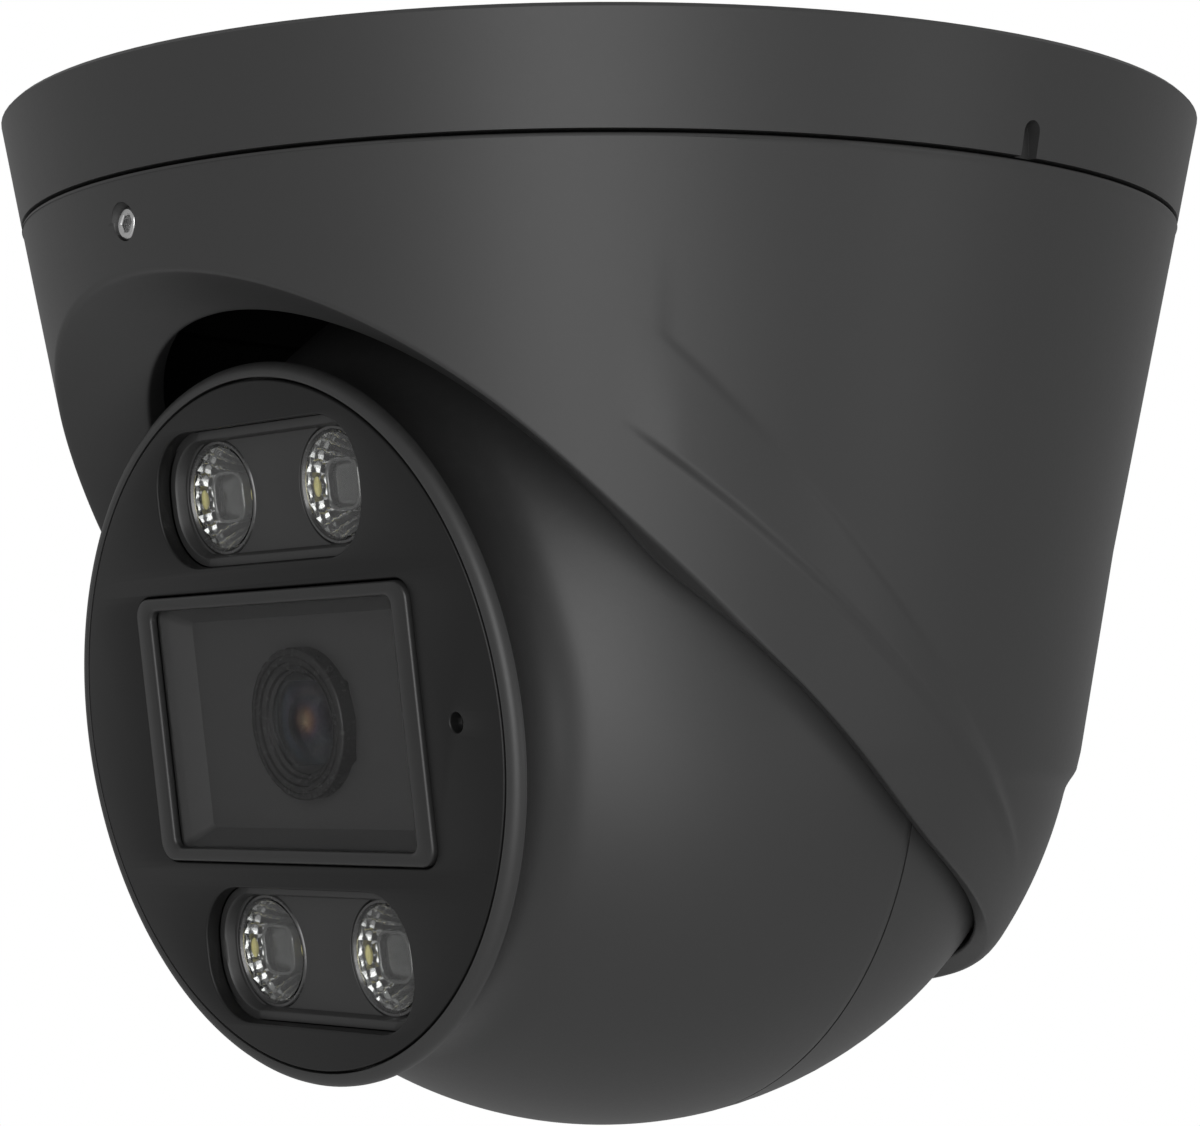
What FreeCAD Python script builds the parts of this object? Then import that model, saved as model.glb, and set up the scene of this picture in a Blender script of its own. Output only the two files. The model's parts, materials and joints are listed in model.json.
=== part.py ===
import FreeCAD, Part
import math
import os

import Sketcher
from FreeCAD import Placement, Rotation, Vector

# Ceiling turret camera. Millimetres, +Z up. The origin is the centre of the ceiling mounting face, the
# camera hangs below it (-Z) and looks to the front (-Y). The ball centre lies on the Z axis.
#
# Pieces of the camera head are drawn in the head's own frame: origin at the ball centre, Z along the lens
# axis towards the scene, X to the right and Y up for someone who faces the camera. Every such piece gets
# the same placement, which is bound to the sheet's ball_drop and head_tilt.

doc = FreeCAD.newDocument("TurretCamera")
sheet = doc.addObject("Spreadsheet::Sheet", "Sizes")


class Size:
    """A length or an angle that knows both its value and the expression that gives it in the sheet."""

    def __init__(self, value, text):
        self.value = float(value)
        self.text = text

    def __add__(self, other):
        other = as_size(other)
        return Size(self.value + other.value, f"({self.text} + {other.text})")

    def __sub__(self, other):
        other = as_size(other)
        return Size(self.value - other.value, f"({self.text} - {other.text})")

    def __mul__(self, other):
        other = as_size(other)
        return Size(self.value * other.value, f"({self.text} * {other.text})")

    def __truediv__(self, other):
        other = as_size(other)
        return Size(self.value / other.value, f"({self.text} / {other.text})")

    def __rsub__(self, other):
        return as_size(other) - self

    def __neg__(self):
        return Size(-self.value, f"(-1 * {self.text})")

    __radd__ = __add__
    __rmul__ = __mul__


def as_size(number):
    return number if isinstance(number, Size) else Size(number, f"{float(number):.6f}")


def root(size):
    return Size(math.sqrt(size.value), f"sqrt({size.text})")


def sine(angle):
    return Size(math.sin(math.radians(angle.value)), f"sin({angle.text} * 1 deg)")


def cosine(angle):
    return Size(math.cos(math.radians(angle.value)), f"cos({angle.text} * 1 deg)")


def arc_cosine(ratio):
    return Size(math.degrees(math.acos(ratio.value)), f"(acos({ratio.text}) / 1 deg)")


def arc_tangent(ratio):
    return Size(math.degrees(math.atan(ratio.value)), f"(atan({ratio.text}) / 1 deg)")


row = 0


def size(alias, value, note):
    """Writes one driving dimension to the sheet and gives it back as a Size."""
    global row
    row += 1
    sheet.set(f"A{row}", str(value))
    sheet.setAlias(f"A{row}", alias)
    sheet.set(f"B{row}", note)
    return Size(value, f"Sizes.{alias}")


# ---------------------------------------------------------------- driving dimensions
base_radius = size("base_radius", 60.0, "outside radius at the ceiling")
base_taper = size("base_taper", 0.1958, "loss of radius per mm of depth, base ring")
base_depth = size("base_depth", 10.35, "depth of the base ring's outside wall")
parting_gap = size("parting_gap", 0.3, "gap between base ring and turret housing")
plate_wall = size("plate_wall", 4.0, "thickness of the base plate")
skirt_inset = size("skirt_inset", 6.1, "distance from the base's edge to its inner skirt")
skirt_wall = size("skirt_wall", 2.6, "wall of the inner skirt")
skirt_depth = size("skirt_depth", 16.3, "depth of the inner skirt below the ceiling")
gasket_inset = size("gasket_inset", 5.5, "distance from the base's edge to the middle of its gasket")
gasket_width = size("gasket_width", 4.0, "width of the ceiling gasket")
gasket_depth = size("gasket_depth", 1.5, "thickness of the ceiling gasket")
screw_circle = size("screw_circle", 42.0, "radius of the circle of ceiling screw holes")
screw_hole = size("screw_hole", 2.25, "radius of a ceiling screw hole")
screw_boss = size("screw_boss", 6.0, "radius of the boss round a ceiling screw hole")
boss_depth = size("boss_depth", 6.0, "depth of a ceiling screw boss")
grommet_hole = size("grommet_hole", 9.0, "radius of the cable hole in the base plate")
grommet_bore = size("grommet_bore", 3.6, "radius of the bore through the grommet")
grommet_lip = size("grommet_lip", 1.5, "height and width of the grommet's lips")
notch_width = size("notch_width", 2.0, "width of the alignment notch")
notch_height = size("notch_height", 3.2, "height of the alignment notch")
notch_depth = size("notch_depth", 0.9, "depth of the alignment notch")
seal_wire = size("seal_wire", 0.9, "section radius of the base seal")
seal_drop = size("seal_drop", 12.6, "depth of the base seal")
groove_drop = size("groove_drop", 14.8, "depth of the set screw and of its groove")
groove_cut = size("groove_cut", 1.3, "depth of the set screw groove")

housing_step = size("housing_step", 0.127, "gain of the housing cone's radius at the ceiling over the base")
housing_taper = size("housing_taper", 0.2079, "loss of radius per mm of depth, housing")
housing_wall = size("housing_wall", 2.4, "wall of the housing cone")
shoulder_drop = size("shoulder_drop", 65.0, "depth at which the cone gives way to the collar")
shoulder_round = size("shoulder_round", 2.4, "height of the shoulder's rounding")
shoulder_bulge = size("shoulder_bulge", 1.2034, "radius of the shoulder's rounding per mm of its chord")
ball_drop = size("ball_drop", 54.77, "depth of the ball centre")
ball_radius = size("ball_radius", 44.68, "radius of the ball")
seat_gap = size("seat_gap", 0.37, "gap between ball and collar")
collar_wall = size("collar_wall", 2.5, "wall of the spherical collar")
seat_low = size("seat_low", 10.5, "depth of the bracket's running space below the ball centre")
cut_angle = size("cut_angle", 47.0, "how far the axis of the opening points below the horizon")
cut_offset = size("cut_offset", 13.0, "distance of the opening's plane from the ball centre")
rear_angle = size("rear_angle", 65.8, "how far the axis of the rear cut points below the horizon")
rear_offset = size("rear_offset", 15.4, "distance of the rear cut's plane from the ball centre")
scoop_angle = size("scoop_angle", 45.0, "how far the axis of the scoop points below the horizon")
scoop_rise = size("scoop_rise", 24.4, "offset of the scoop's axis from the ball centre")
scoop_level = size("scoop_level", 9.5, "level of the scoop's inner edge")
scoop_radius = size("scoop_radius", 31.4, "radius of the scoop's inner edge")
scoop_flare = size("scoop_flare", 1.7, "gain of the scoop's radius per mm of level")
screw_radius = size("screw_radius", 1.5, "radius of the set screw")
screw_tip = size("screw_tip", 0.75, "radius of the set screw's tip")
tip_reach = size("tip_reach", 0.7, "how far the set screw's tip reaches into its groove")
screw_play = size("screw_play", 0.06, "radial clearance of the set screw")

bracket_gap = size("bracket_gap", 0.3, "gap on each side of the tilt bracket")
bracket_wall = size("bracket_wall", 1.0, "thickness of the tilt bracket")
bracket_width = size("bracket_width", 12.0, "width of the tilt bracket's strap")
pivot_radius = size("pivot_radius", 2.0, "radius of the pivot pins")
pivot_play = size("pivot_play", 0.05, "radial clearance of the pivot pins")
pivot_root = size("pivot_root", 1.2, "length of a pivot pin inside the housing wall")

head_tilt = size("head_tilt", 7.8, "how far the lens axis points below the horizon")
shell_wall = size("shell_wall", 2.2, "wall of the ball shells")
seam_level = size("seam_level", 1.2, "level of the seam between the shells")
rear_cut = size("rear_cut", 6.68, "depth that the rear flat cuts off the ball")
hub_radius = size("hub_radius", 9.0, "radius of the roll hub")
hub_play = size("hub_play", 0.06, "radial clearance of the roll hub")
hub_wall = size("hub_wall", 2.0, "wall of the roll hub")
hub_length = size("hub_length", 5.2, "length of the roll hub behind the flat")
nut_radius = size("nut_radius", 13.0, "radius of the hub nut")
nut_length = size("nut_length", 2.4, "length of the hub nut")
rim_radius = size("rim_radius", 33.9, "outside radius of the ring round the face")
rim_level = size("rim_level", 38.7, "level of the back of the ring")
rim_chamfer = size("rim_chamfer", 1.1, "chamfer of the ring")
face_level = size("face_level", 40.0, "level of the face")
neck_arc = size("neck_arc", 6.0, "radius of the hollow neck behind the ring")
neck_bore = size("neck_bore", 30.3, "radius of the bore through the neck")
face_radius = size("face_radius", 32.35, "radius of the faceplate")
face_gap = size("face_gap", 0.2, "gap round the faceplate")
face_wall = size("face_wall", 1.6, "thickness of the faceplate")
post_circle = size("post_circle", 38.8, "radius of the circle of shell screws")
post_radius = size("post_radius", 4.2, "radius of a shell screw post")
post_head = size("post_head", 2.6, "radius of the well for a shell screw's head")
post_level = size("post_level", 6.0, "depth of the screw head behind the ball centre")
post_screw = size("post_screw", 1.25, "radius of a shell screw")
post_seat = size("post_seat", 0.4, "how far a shell screw post stays inside the ball's surface")
seal_section = size("seal_section", 0.6, "section radius of the seal between the shells")
gland_bore = size("gland_bore", 2.6, "radius of the bore through the rear gland")

pocket_width = size("pocket_width", 32.2, "width of a light pocket")
pocket_height = size("pocket_height", 13.0, "height of a light pocket")
pocket_corner = size("pocket_corner", 5.8, "corner radius of a light pocket")
pocket_rise = size("pocket_rise", 21.8, "height of a light pocket above the lens axis")
pocket_floor = size("pocket_floor", 37.4, "level of a light pocket's floor")
light_pitch = size("light_pitch", 18.3, "distance between the two lights of a pocket")
light_radius = size("light_radius", 5.5, "radius of a light's optic")
light_depth = size("light_depth", 5.0, "depth of a light's optic")
light_foot = size("light_foot", 2.6, "radius of the back of a light's optic")
window_width = size("window_width", 43.0, "width of the window frame")
window_height = size("window_height", 25.6, "height of the window frame")
window_corner = size("window_corner", 1.9, "corner radius of the window frame")
window_rise = size("window_rise", 0.45, "how far the window frame stands proud of the face")
window_side = size("window_side", 2.4, "width of the window frame's left and right rim")
window_top = size("window_top", 1.3, "width of the window frame's top and bottom rim")
glass_wall = size("glass_wall", 1.2, "thickness of the window glass")
glass_level = size("glass_level", 39.7, "level of the front of the window glass")
mic_offset = size("mic_offset", 26.2, "distance of the microphone hole from the lens axis")
mic_hole = size("mic_hole", 0.9, "radius of the microphone hole")

hood_depth = size("hood_depth", 1.6, "depth of the recess in the lens hood")
hood_border = size("hood_border", 1.4, "width of the lens hood's sloped border")
lens_front = size("lens_front", 38.2, "level of the front of the lens")
lens_radius = size("lens_radius", 7.2, "radius of the front of the lens barrel")
lens_collar = size("lens_collar", 6.0, "length of the wide part of the lens barrel")
thread_radius = size("thread_radius", 6.0, "radius of the lens barrel's thread")
lens_length = size("lens_length", 17.0, "length of the lens barrel")
element_radius = size("element_radius", 4.6, "radius of the front lens element")
element_dome = size("element_dome", 7.0, "radius of the domed face of a lens element")
holder_radius = size("holder_radius", 8.5, "outside radius of the lens holder")
board_level = size("board_level", 12.0, "level of the front of the main board")
board_size = size("board_size", 38.0, "side of the main board")
board_wall = size("board_wall", 1.6, "thickness of the main board")
filter_travel = size("filter_travel", 6.5, "travel of the filter slider")
filter_size = size("filter_size", 6.0, "side of a filter glass")
plate_size = size("plate_size", 38.0, "length of the heat sink's fins")
pad_size = size("pad_size", 20.0, "side of the thermal pad")
board_screw = size("board_screw", 1.25, "radius of a board screw")
light_board_width = size("light_board_width", 30.0, "width of a light board")
light_board_height = size("light_board_height", 11.0, "height of a light board")
mic_radius = size("mic_radius", 2.0, "radius of the microphone")


# ---------------------------------------------------------------- building blocks
made = {}
counter = [0]


def fresh(word):
    counter[0] += 1
    return f"{word}_{counter[0]}"


def bind(thing, **sizes):
    """Binds properties to the sheet. A dot in a property's name is written as two underscores."""
    for name, amount in sizes.items():
        thing.setExpression(name.replace("__", "."), as_size(amount).text)


def move(thing, x=0, y=0, z=0):
    bind(thing, Placement__Base__x=x, Placement__Base__y=y, Placement__Base__z=z)
    return thing


def cylinder(radius, low, high, x=0, y=0):
    thing = doc.addObject("Part::Cylinder", fresh("Cylinder"))
    bind(thing, Radius=radius, Height=as_size(high) - low)
    return move(thing, x, y, low)


def cross_cylinder(radius, start, end, z=0):
    """A cylinder along X."""
    thing = doc.addObject("Part::Cylinder", fresh("Cylinder"))
    thing.Placement = Placement(Vector(), Rotation(Vector(0, 1, 0), 90))
    bind(thing, Radius=radius, Height=as_size(end) - start)
    return move(thing, start, 0, z)


def front_cylinder(radius, start, end, z=0):
    """A cylinder along -Y, from start to end in front of the Z axis."""
    thing = doc.addObject("Part::Cylinder", fresh("Cylinder"))
    thing.Placement = Placement(Vector(), Rotation(Vector(1, 0, 0), 90))
    bind(thing, Radius=radius, Height=as_size(end) - start)
    return move(thing, 0, -as_size(start), z)


def cone(low_radius, high_radius, low, high, x=0, y=0):
    thing = doc.addObject("Part::Cone", fresh("Cone"))
    bind(thing, Radius1=low_radius, Radius2=high_radius, Height=as_size(high) - low)
    return move(thing, x, y, low)


def sphere(radius, z=0):
    thing = doc.addObject("Part::Sphere", fresh("Sphere"))
    bind(thing, Radius=radius)
    return move(thing, 0, 0, z)


def torus(radius, wire, z):
    thing = doc.addObject("Part::Torus", fresh("Torus"))
    bind(thing, Radius1=radius, Radius2=wire)
    return move(thing, 0, 0, z)


def block(width, height, low, high, x=0, y=0):
    """A box centred on (x, y) that reaches from low to high along Z."""
    thing = doc.addObject("Part::Box", fresh("Box"))
    bind(thing, Length=width, Width=height, Height=as_size(high) - low)
    return move(thing, x - as_size(width) / 2, y - as_size(height) / 2, low)


def fuse(*things):
    thing = doc.addObject("Part::MultiFuse", fresh("Fuse"))
    thing.Shapes = list(things)
    return thing


def common(*things):
    thing = doc.addObject("Part::MultiCommon", fresh("Common"))
    thing.Shapes = list(things)
    return thing


def cut(whole, *tools):
    thing = doc.addObject("Part::Cut", fresh("Cut"))
    thing.Base = whole
    thing.Tool = tools[0] if len(tools) == 1 else fuse(*tools)
    return thing


def ring(outer, inner, low, high, x=0, y=0):
    past = as_size(0.5)
    return cut(cylinder(outer, low, high, x, y), cylinder(inner, low - past, high + past, x, y))


def rounded_block(width, height, corner, low, high, x=0, y=0):
    """A box whose four upright edges are rounded."""
    half_x = as_size(width) / 2 - corner
    half_y = as_size(height) / 2 - corner
    pieces = [
        block(as_size(width) - corner * 2, height, low, high, x, y),
        block(width, as_size(height) - corner * 2, low, high, x, y),
    ]
    for side_x in (-1, 1):
        for side_y in (-1, 1):
            pieces.append(cylinder(corner, low, high, x + half_x * side_x, y + half_y * side_y))
    return fuse(*pieces)


def around(make, count, start=0.0):
    """Copies of a piece, turned about Z. make is called with the angle's cosine and sine."""
    made_here = []
    for index in range(count):
        angle = math.radians(start + 360.0 * index / count)
        made_here.append(make(math.cos(angle), math.sin(angle)))
    return made_here


def gather(*things):
    """Separate solids in one node."""
    thing = doc.addObject("Part::Compound", fresh("Group"))
    thing.Links = list(things)
    return thing


def bulge(start, end, radius):
    """The middle of the arc between two points. A positive radius bends it to the right of the way."""
    chord = end - start
    half = chord.Length / 2
    side = Vector(chord.y, -chord.x, 0).normalize() * math.copysign(1, radius)
    sag = abs(radius) - math.sqrt(radius * radius - half * half)
    return (start + end) * 0.5 + side * sag


def turned(name, outline):
    """A body turned about Z. The outline is a list of (radius, height, arc), where arc is the radius of the
    arc that leads to the next point, or None where the way there is straight."""
    body = doc.addObject("PartDesign::Body", name + "_body")
    sketch = body.newObject("Sketcher::SketchObject", name + "_outline")
    plane = [one for one in body.Origin.OriginFeatures if one.Role == "XZ_Plane"][0]
    sketch.AttachmentSupport = [(plane, "")]
    sketch.MapMode = "FlatFace"
    points = [Vector(as_size(across).value, as_size(up).value, 0) for across, up, _ in outline]
    starts = []
    for index, (_, _, arc) in enumerate(outline):
        here = points[index]
        there = points[(index + 1) % len(points)]
        if arc is None:
            sketch.addGeometry(Part.LineSegment(here, there))
        else:
            sketch.addGeometry(Part.Arc(here, bulge(here, there, as_size(arc).value), there))
        near = sketch.getPoint(index, 1).distanceToPoint(here)
        starts.append(1 if near < sketch.getPoint(index, 2).distanceToPoint(here) else 2)
    for index, (across, up, arc) in enumerate(outline):
        before = (index - 1) % len(outline)
        end = 3 - starts[before]
        sketch.addConstraint(Sketcher.Constraint("Coincident", before, end, index, starts[index]))
        for kind, axis, amount in (("DistanceX", -2, across), ("DistanceY", -1, up)):
            if as_size(amount).value == 0:
                sketch.addConstraint(Sketcher.Constraint("PointOnObject", index, starts[index], axis))
                continue
            place = Sketcher.Constraint(kind, -1, 1, index, starts[index], as_size(amount).value)
            number = sketch.addConstraint(place)
            sketch.setExpression(f"Constraints[{number}]", as_size(amount).text)
        if arc is not None:
            number = sketch.addConstraint(Sketcher.Constraint("Radius", index, abs(as_size(arc).value)))
            sketch.setExpression(f"Constraints[{number}]", f"abs({as_size(arc).text})")
    revolution = body.newObject("PartDesign::Revolution", name + "_turned")
    revolution.Profile = sketch
    revolution.ReferenceAxis = (sketch, ["V_Axis"])
    revolution.Angle = 360
    sketch.Visibility = False
    return body


def aim(thing, angle, rise=0, level=0):
    """Places a piece in a frame at the ball centre whose Z points to the front, angle degrees below the
    horizon. The piece is moved up by rise and forward by level in that frame."""
    angle = as_size(angle)
    thing.Placement = Placement(Vector(), Rotation(Vector(1, 0, 0), 90 + angle.value))
    thing.setExpression("Placement.Rotation.Angle", f"90 deg + {angle.text} * 1 deg")
    back = sine(angle) * rise + cosine(angle) * level
    return move(thing, 0, -back, cosine(angle) * rise - sine(angle) * level - ball_drop)


def node(label, thing, in_head=False):
    """Names a finished piece. The label names its file. A piece of the head keeps its own place inside a
    group, and the group takes the head's placement."""
    if in_head:
        thing = aim(gather(thing), head_tilt)
    thing.Label = label
    made[label] = thing
    return thing


# ---------------------------------------------------------------- sizes that follow from the others
# A cutting tool is reach long where it has to pass right through the camera, and goes over past a face
# elsewhere. Pieces that are pushed together keep slip between them.
reach = 60.0
over = 1.0
slip = 0.1
ring_low_radius = base_radius - base_taper * base_depth
skirt_radius = base_radius - skirt_inset
gasket_radius = base_radius - gasket_inset
housing_radius = base_radius + housing_step
housing_top = base_depth + parting_gap
seat_radius = ball_radius + seat_gap
collar_radius = seat_radius + collar_wall
rear_flat = ball_radius - rear_cut
bracket_inner = ball_radius + bracket_gap
bracket_outer = bracket_inner + bracket_wall
wide_seat = bracket_outer + bracket_gap
shell_inner = ball_radius - shell_wall
plate_front = rear_flat + bracket_gap
plate_back = plate_front + bracket_wall
face_back = face_level - face_wall
thread_core = post_screw - 0.15
thread_reach = 10.0
filter_height = 6.0
pocket_places = (1, -1)
light_places = (-0.5, 0.5)


def housing_cone(drop):
    """Radius of the housing cone at a depth below the ceiling."""
    return housing_radius - housing_taper * drop


# ---------------------------------------------------------------- base, fixed to the ceiling
def make_base():
    bevel = 0.4
    profile = turned("base", [
        (0, 0, None),
        (base_radius - bevel, 0, None),
        (base_radius, -as_size(bevel), None),
        (ring_low_radius, -base_depth, None),
        (skirt_radius, -base_depth, None),
        (skirt_radius, -skirt_depth, None),
        (skirt_radius - skirt_wall, -skirt_depth, None),
        (skirt_radius - skirt_wall, -plate_wall, None),
        (0, -plate_wall, None),
    ])
    screw_count = 3
    first_screw = 90.0

    def boss(c, s):
        return cylinder(screw_boss, -boss_depth, -plate_wall / 2, screw_circle * c, screw_circle * s)

    def hole(c, s):
        return cylinder(screw_hole, -boss_depth - over, over, screw_circle * c, screw_circle * s)

    bosses = around(boss, screw_count, first_screw)
    holes = around(hole, screw_count, first_screw)
    gasket_half = gasket_width / 2
    gasket_outer = gasket_radius + gasket_half
    gasket_inner = gasket_radius - gasket_half
    groove = ring(gasket_outer, gasket_inner, -gasket_depth, over)
    lip_radius = grommet_hole + grommet_lip
    lip_seat = cylinder(lip_radius, -grommet_lip, over)
    cable_hole = cylinder(grommet_hole, -plate_wall - over, 0)
    seal_groove = torus(skirt_radius - seal_wire / 2, seal_wire, -seal_drop)
    screw_groove = torus(skirt_radius, groove_cut, -groove_drop)
    notch_floor = ring_low_radius - notch_depth
    notch_round = notch_width / 2
    notch_top = notch_height - notch_round - base_depth
    notch_box = block(reach, notch_width, -base_depth - over, notch_top, notch_floor + reach / 2)
    notch_end = cross_cylinder(notch_round, notch_floor, notch_floor + reach, notch_top)
    body = cut(fuse(profile, *bosses), groove, lip_seat, cable_hole, seal_groove, screw_groove,
               notch_box, notch_end, *holes)
    node("base_ring", body)
    node("ceiling_gasket", ring(gasket_outer, gasket_inner, -gasket_depth, 0))
    node("base_seal", torus(skirt_radius - seal_wire / 2, seal_wire, -seal_drop))
    lip_gap = 0.2
    grommet = fuse(
        cylinder(lip_radius, -grommet_lip, -lip_gap),
        cylinder(grommet_hole, -plate_wall, -grommet_lip),
        cylinder(lip_radius, -plate_wall - grommet_lip, -plate_wall),
    )
    bore = cylinder(grommet_bore, -plate_wall - grommet_lip - over, over)
    node("cable_grommet", cut(grommet, bore))


# ---------------------------------------------------------------- turret housing, turns on the base
def make_housing():
    round_drop = shoulder_drop - shoulder_round
    below = shoulder_drop - ball_drop
    collar_edge = root(collar_radius * collar_radius - below * below)
    step = housing_cone(round_drop) - collar_edge
    round_radius = root(step * step + shoulder_round * shoulder_round) * shoulder_bulge
    outside = turned("housing", [
        (0, -housing_top, None),
        (housing_cone(housing_top), -housing_top, None),
        (housing_cone(round_drop), -round_drop, -round_radius),
        (collar_edge, -shoulder_drop, -collar_radius),
        (0, -ball_drop - collar_radius, None),
    ])
    inside = turned("housing_void", [
        (0, -base_depth + over, None),
        (housing_cone(base_depth) - housing_wall, -base_depth + over, None),
        (housing_cone(ball_drop) - housing_wall, -ball_drop, None),
        (0, -ball_drop, None),
    ])
    scoop_wall_level = scoop_level - housing_wall
    depth = 50.0
    scoop_end = scoop_radius + scoop_flare * depth
    scoop_wall = aim(cone(scoop_radius, scoop_end, 0, depth), scoop_angle, scoop_rise, scoop_wall_level)
    scoop = aim(cone(scoop_radius, scoop_end, 0, depth), scoop_angle, scoop_rise, scoop_level)
    hole_depth = depth / 2
    scoop_floor = scoop_level - hole_depth
    scoop_hole = aim(cylinder(scoop_radius, 0, hole_depth + over), scoop_angle, scoop_rise, scoop_floor)
    opening = aim(cylinder(reach * 2, 0, reach * 2), cut_angle, 0, cut_offset)
    rear_opening = aim(cylinder(reach * 2, 0, reach * 2), rear_angle, 0, rear_offset)
    running_space = common(sphere(wide_seat, -ball_drop),
                           block(reach * 2, reach * 2, -ball_drop - seat_low, 0))
    seat = sphere(seat_radius, -ball_drop)
    tapped_start = skirt_radius - over * 2
    tapped_hole = front_cylinder(screw_radius + screw_play, tapped_start, reach, -groove_drop)
    pin_end = wide_seat + pivot_root
    pin_holes = cross_cylinder(pivot_radius, -pin_end, pin_end, -ball_drop)
    housing = cut(outside, cut(inside, scoop_wall), running_space, seat, opening, rear_opening, scoop,
                  scoop_hole, tapped_hole, pin_holes)
    node("turret_housing", housing)
    pin_proud = 0.03
    pin_start = bracket_inner - pin_proud
    right_pin = cross_cylinder(pivot_radius, pin_start, pin_end, -ball_drop)
    left_pin = cross_cylinder(pivot_radius, -pin_end, -pin_start, -ball_drop)
    node("pivot_pins", gather(right_pin, left_pin))
    screw_inset = 0.3
    shank_gap = 0.35
    screw_face = housing_cone(groove_drop) - screw_inset
    shank = front_cylinder(screw_radius, skirt_radius + shank_gap, screw_face, -groove_drop)
    tip = front_cylinder(screw_tip, skirt_radius - tip_reach, screw_face, -groove_drop)
    socket = doc.addObject("Part::Prism", "Socket")
    socket.Polygon = 6
    socket.Placement = Placement(Vector(), Rotation(Vector(1, 0, 0), 90))
    socket_share = 0.62
    socket_depth = 1.5
    bind(socket, Circumradius=screw_radius * socket_share, Height=socket_depth + over)
    move(socket, 0, -screw_face + socket_depth, -groove_drop)
    node("set_screw", cut(fuse(shank, tip), socket))


# ---------------------------------------------------------------- bracket that tilts the head
def make_bracket():
    reach_up = 5.0
    strap = common(cut(sphere(bracket_outer), sphere(bracket_inner)),
                   block(reach * 2, bracket_width, -plate_back, reach_up))
    plate_half = root(bracket_outer * bracket_outer - plate_back * plate_back)
    bar = block(plate_half * 2, bracket_width, -plate_back, -plate_front)
    disc_border = 2.0
    disc = cylinder(nut_radius + disc_border, -plate_back, -plate_front)
    hub_hole = cylinder(hub_radius + hub_play, -plate_back - over, -plate_front + over)
    pin_hole = cross_cylinder(pivot_radius + pivot_play, -reach, reach)
    node("tilt_bracket", cut(fuse(strap, bar, disc), hub_hole, pin_hole), in_head=True)


# ---------------------------------------------------------------- head: shells
def post_rods(radius, low, high):
    """Three rods on the circle of the shell screws."""
    rod_count = 3
    first_rod = 30.0

    def rod(c, s):
        return cylinder(radius, low, high, post_circle * c, post_circle * s)

    return around(rod, rod_count, first_rod)


def make_rear_shell():
    slab = block(reach * 2, reach * 2, -rear_flat, seam_level)
    inner_slab = block(reach * 2, reach * 2, -rear_flat + shell_wall, seam_level + over)
    shell = cut(common(sphere(ball_radius), slab), common(sphere(shell_inner), inner_slab))
    posts = common(fuse(*post_rods(post_radius, -reach, seam_level)), sphere(ball_radius - post_seat))
    hub = cylinder(hub_radius, -rear_flat - hub_length, -rear_flat + shell_wall)
    hub_bore = cylinder(hub_radius - hub_wall, -reach, -rear_flat + shell_wall + over)
    wells = post_rods(post_head, -reach, -post_level)
    holes = post_rods(post_screw, -post_level - over, seam_level + over)
    seal_groove = torus(ball_radius - shell_wall / 2, seal_section, seam_level)
    node("rear_shell", cut(fuse(shell, posts, hub), hub_bore, seal_groove, *wells, *holes), in_head=True)
    node("shell_seal", torus(ball_radius - shell_wall / 2, seal_section, seam_level), in_head=True)
    screws = []
    head_play = 0.3
    head_height = 2.0
    heads = post_rods(post_head - head_play, -post_level - head_height, -post_level)
    shafts = post_rods(thread_core, -post_level, seam_level + thread_reach)
    for head, shaft in zip(heads, shafts):
        screws.append(fuse(head, shaft))
    node("shell_screws", gather(*screws), in_head=True)
    washer_space = 1.0
    washer_width = 3.0
    nut_front = plate_back + washer_space
    washer = ring(hub_radius + washer_width, hub_radius + slip * 2, -nut_front + slip, -plate_back - slip)
    node("wave_washer", washer, in_head=True)
    node("hub_nut", ring(nut_radius, hub_radius, -nut_front - nut_length, -nut_front), in_head=True)
    gland_radius = hub_radius - hub_wall
    hub_end = rear_flat + hub_length
    gland_flange = 1.0
    plug = cylinder(gland_radius, -hub_end, -rear_flat + over)
    flange = cylinder(hub_radius, -hub_end - gland_flange, -hub_end)
    node("rear_gland", cut(fuse(plug, flange), cylinder(gland_bore, -reach, 0)), in_head=True)


def make_front_shell():
    rim_reach = root(rim_radius * rim_radius + rim_level * rim_level)
    arc_reach = ball_radius + neck_arc
    spread = arc_cosine((arc_reach * arc_reach + rim_reach * rim_reach - neck_arc * neck_arc)
                        / (arc_reach * rim_reach * 2))
    meet = arc_tangent(rim_radius / rim_level) + spread
    seat = face_radius + face_gap
    profile = turned("front", [
        (root(ball_radius * ball_radius - seam_level * seam_level), seam_level, ball_radius),
        (ball_radius * sine(meet), ball_radius * cosine(meet), -neck_arc),
        (rim_radius, rim_level, None),
        (rim_radius, face_level - rim_chamfer, None),
        (rim_radius - rim_chamfer, face_level, None),
        (seat, face_level, None),
        (seat, face_back, None),
        (neck_bore, face_back, None),
        (neck_bore, root(shell_inner * shell_inner - neck_bore * neck_bore), -shell_inner),
        (root(shell_inner * shell_inner - seam_level * seam_level), seam_level, None),
    ])
    post_length = 14.0
    rods = post_rods(post_radius, seam_level, seam_level + post_length)
    posts = common(fuse(*rods), sphere(ball_radius - post_seat))
    pilots = post_rods(thread_core, seam_level - over, seam_level + thread_reach)
    seal_groove = torus(ball_radius - shell_wall / 2, seal_section, seam_level)
    node("front_shell", cut(fuse(profile, posts), seal_groove, *pilots), in_head=True)


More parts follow.
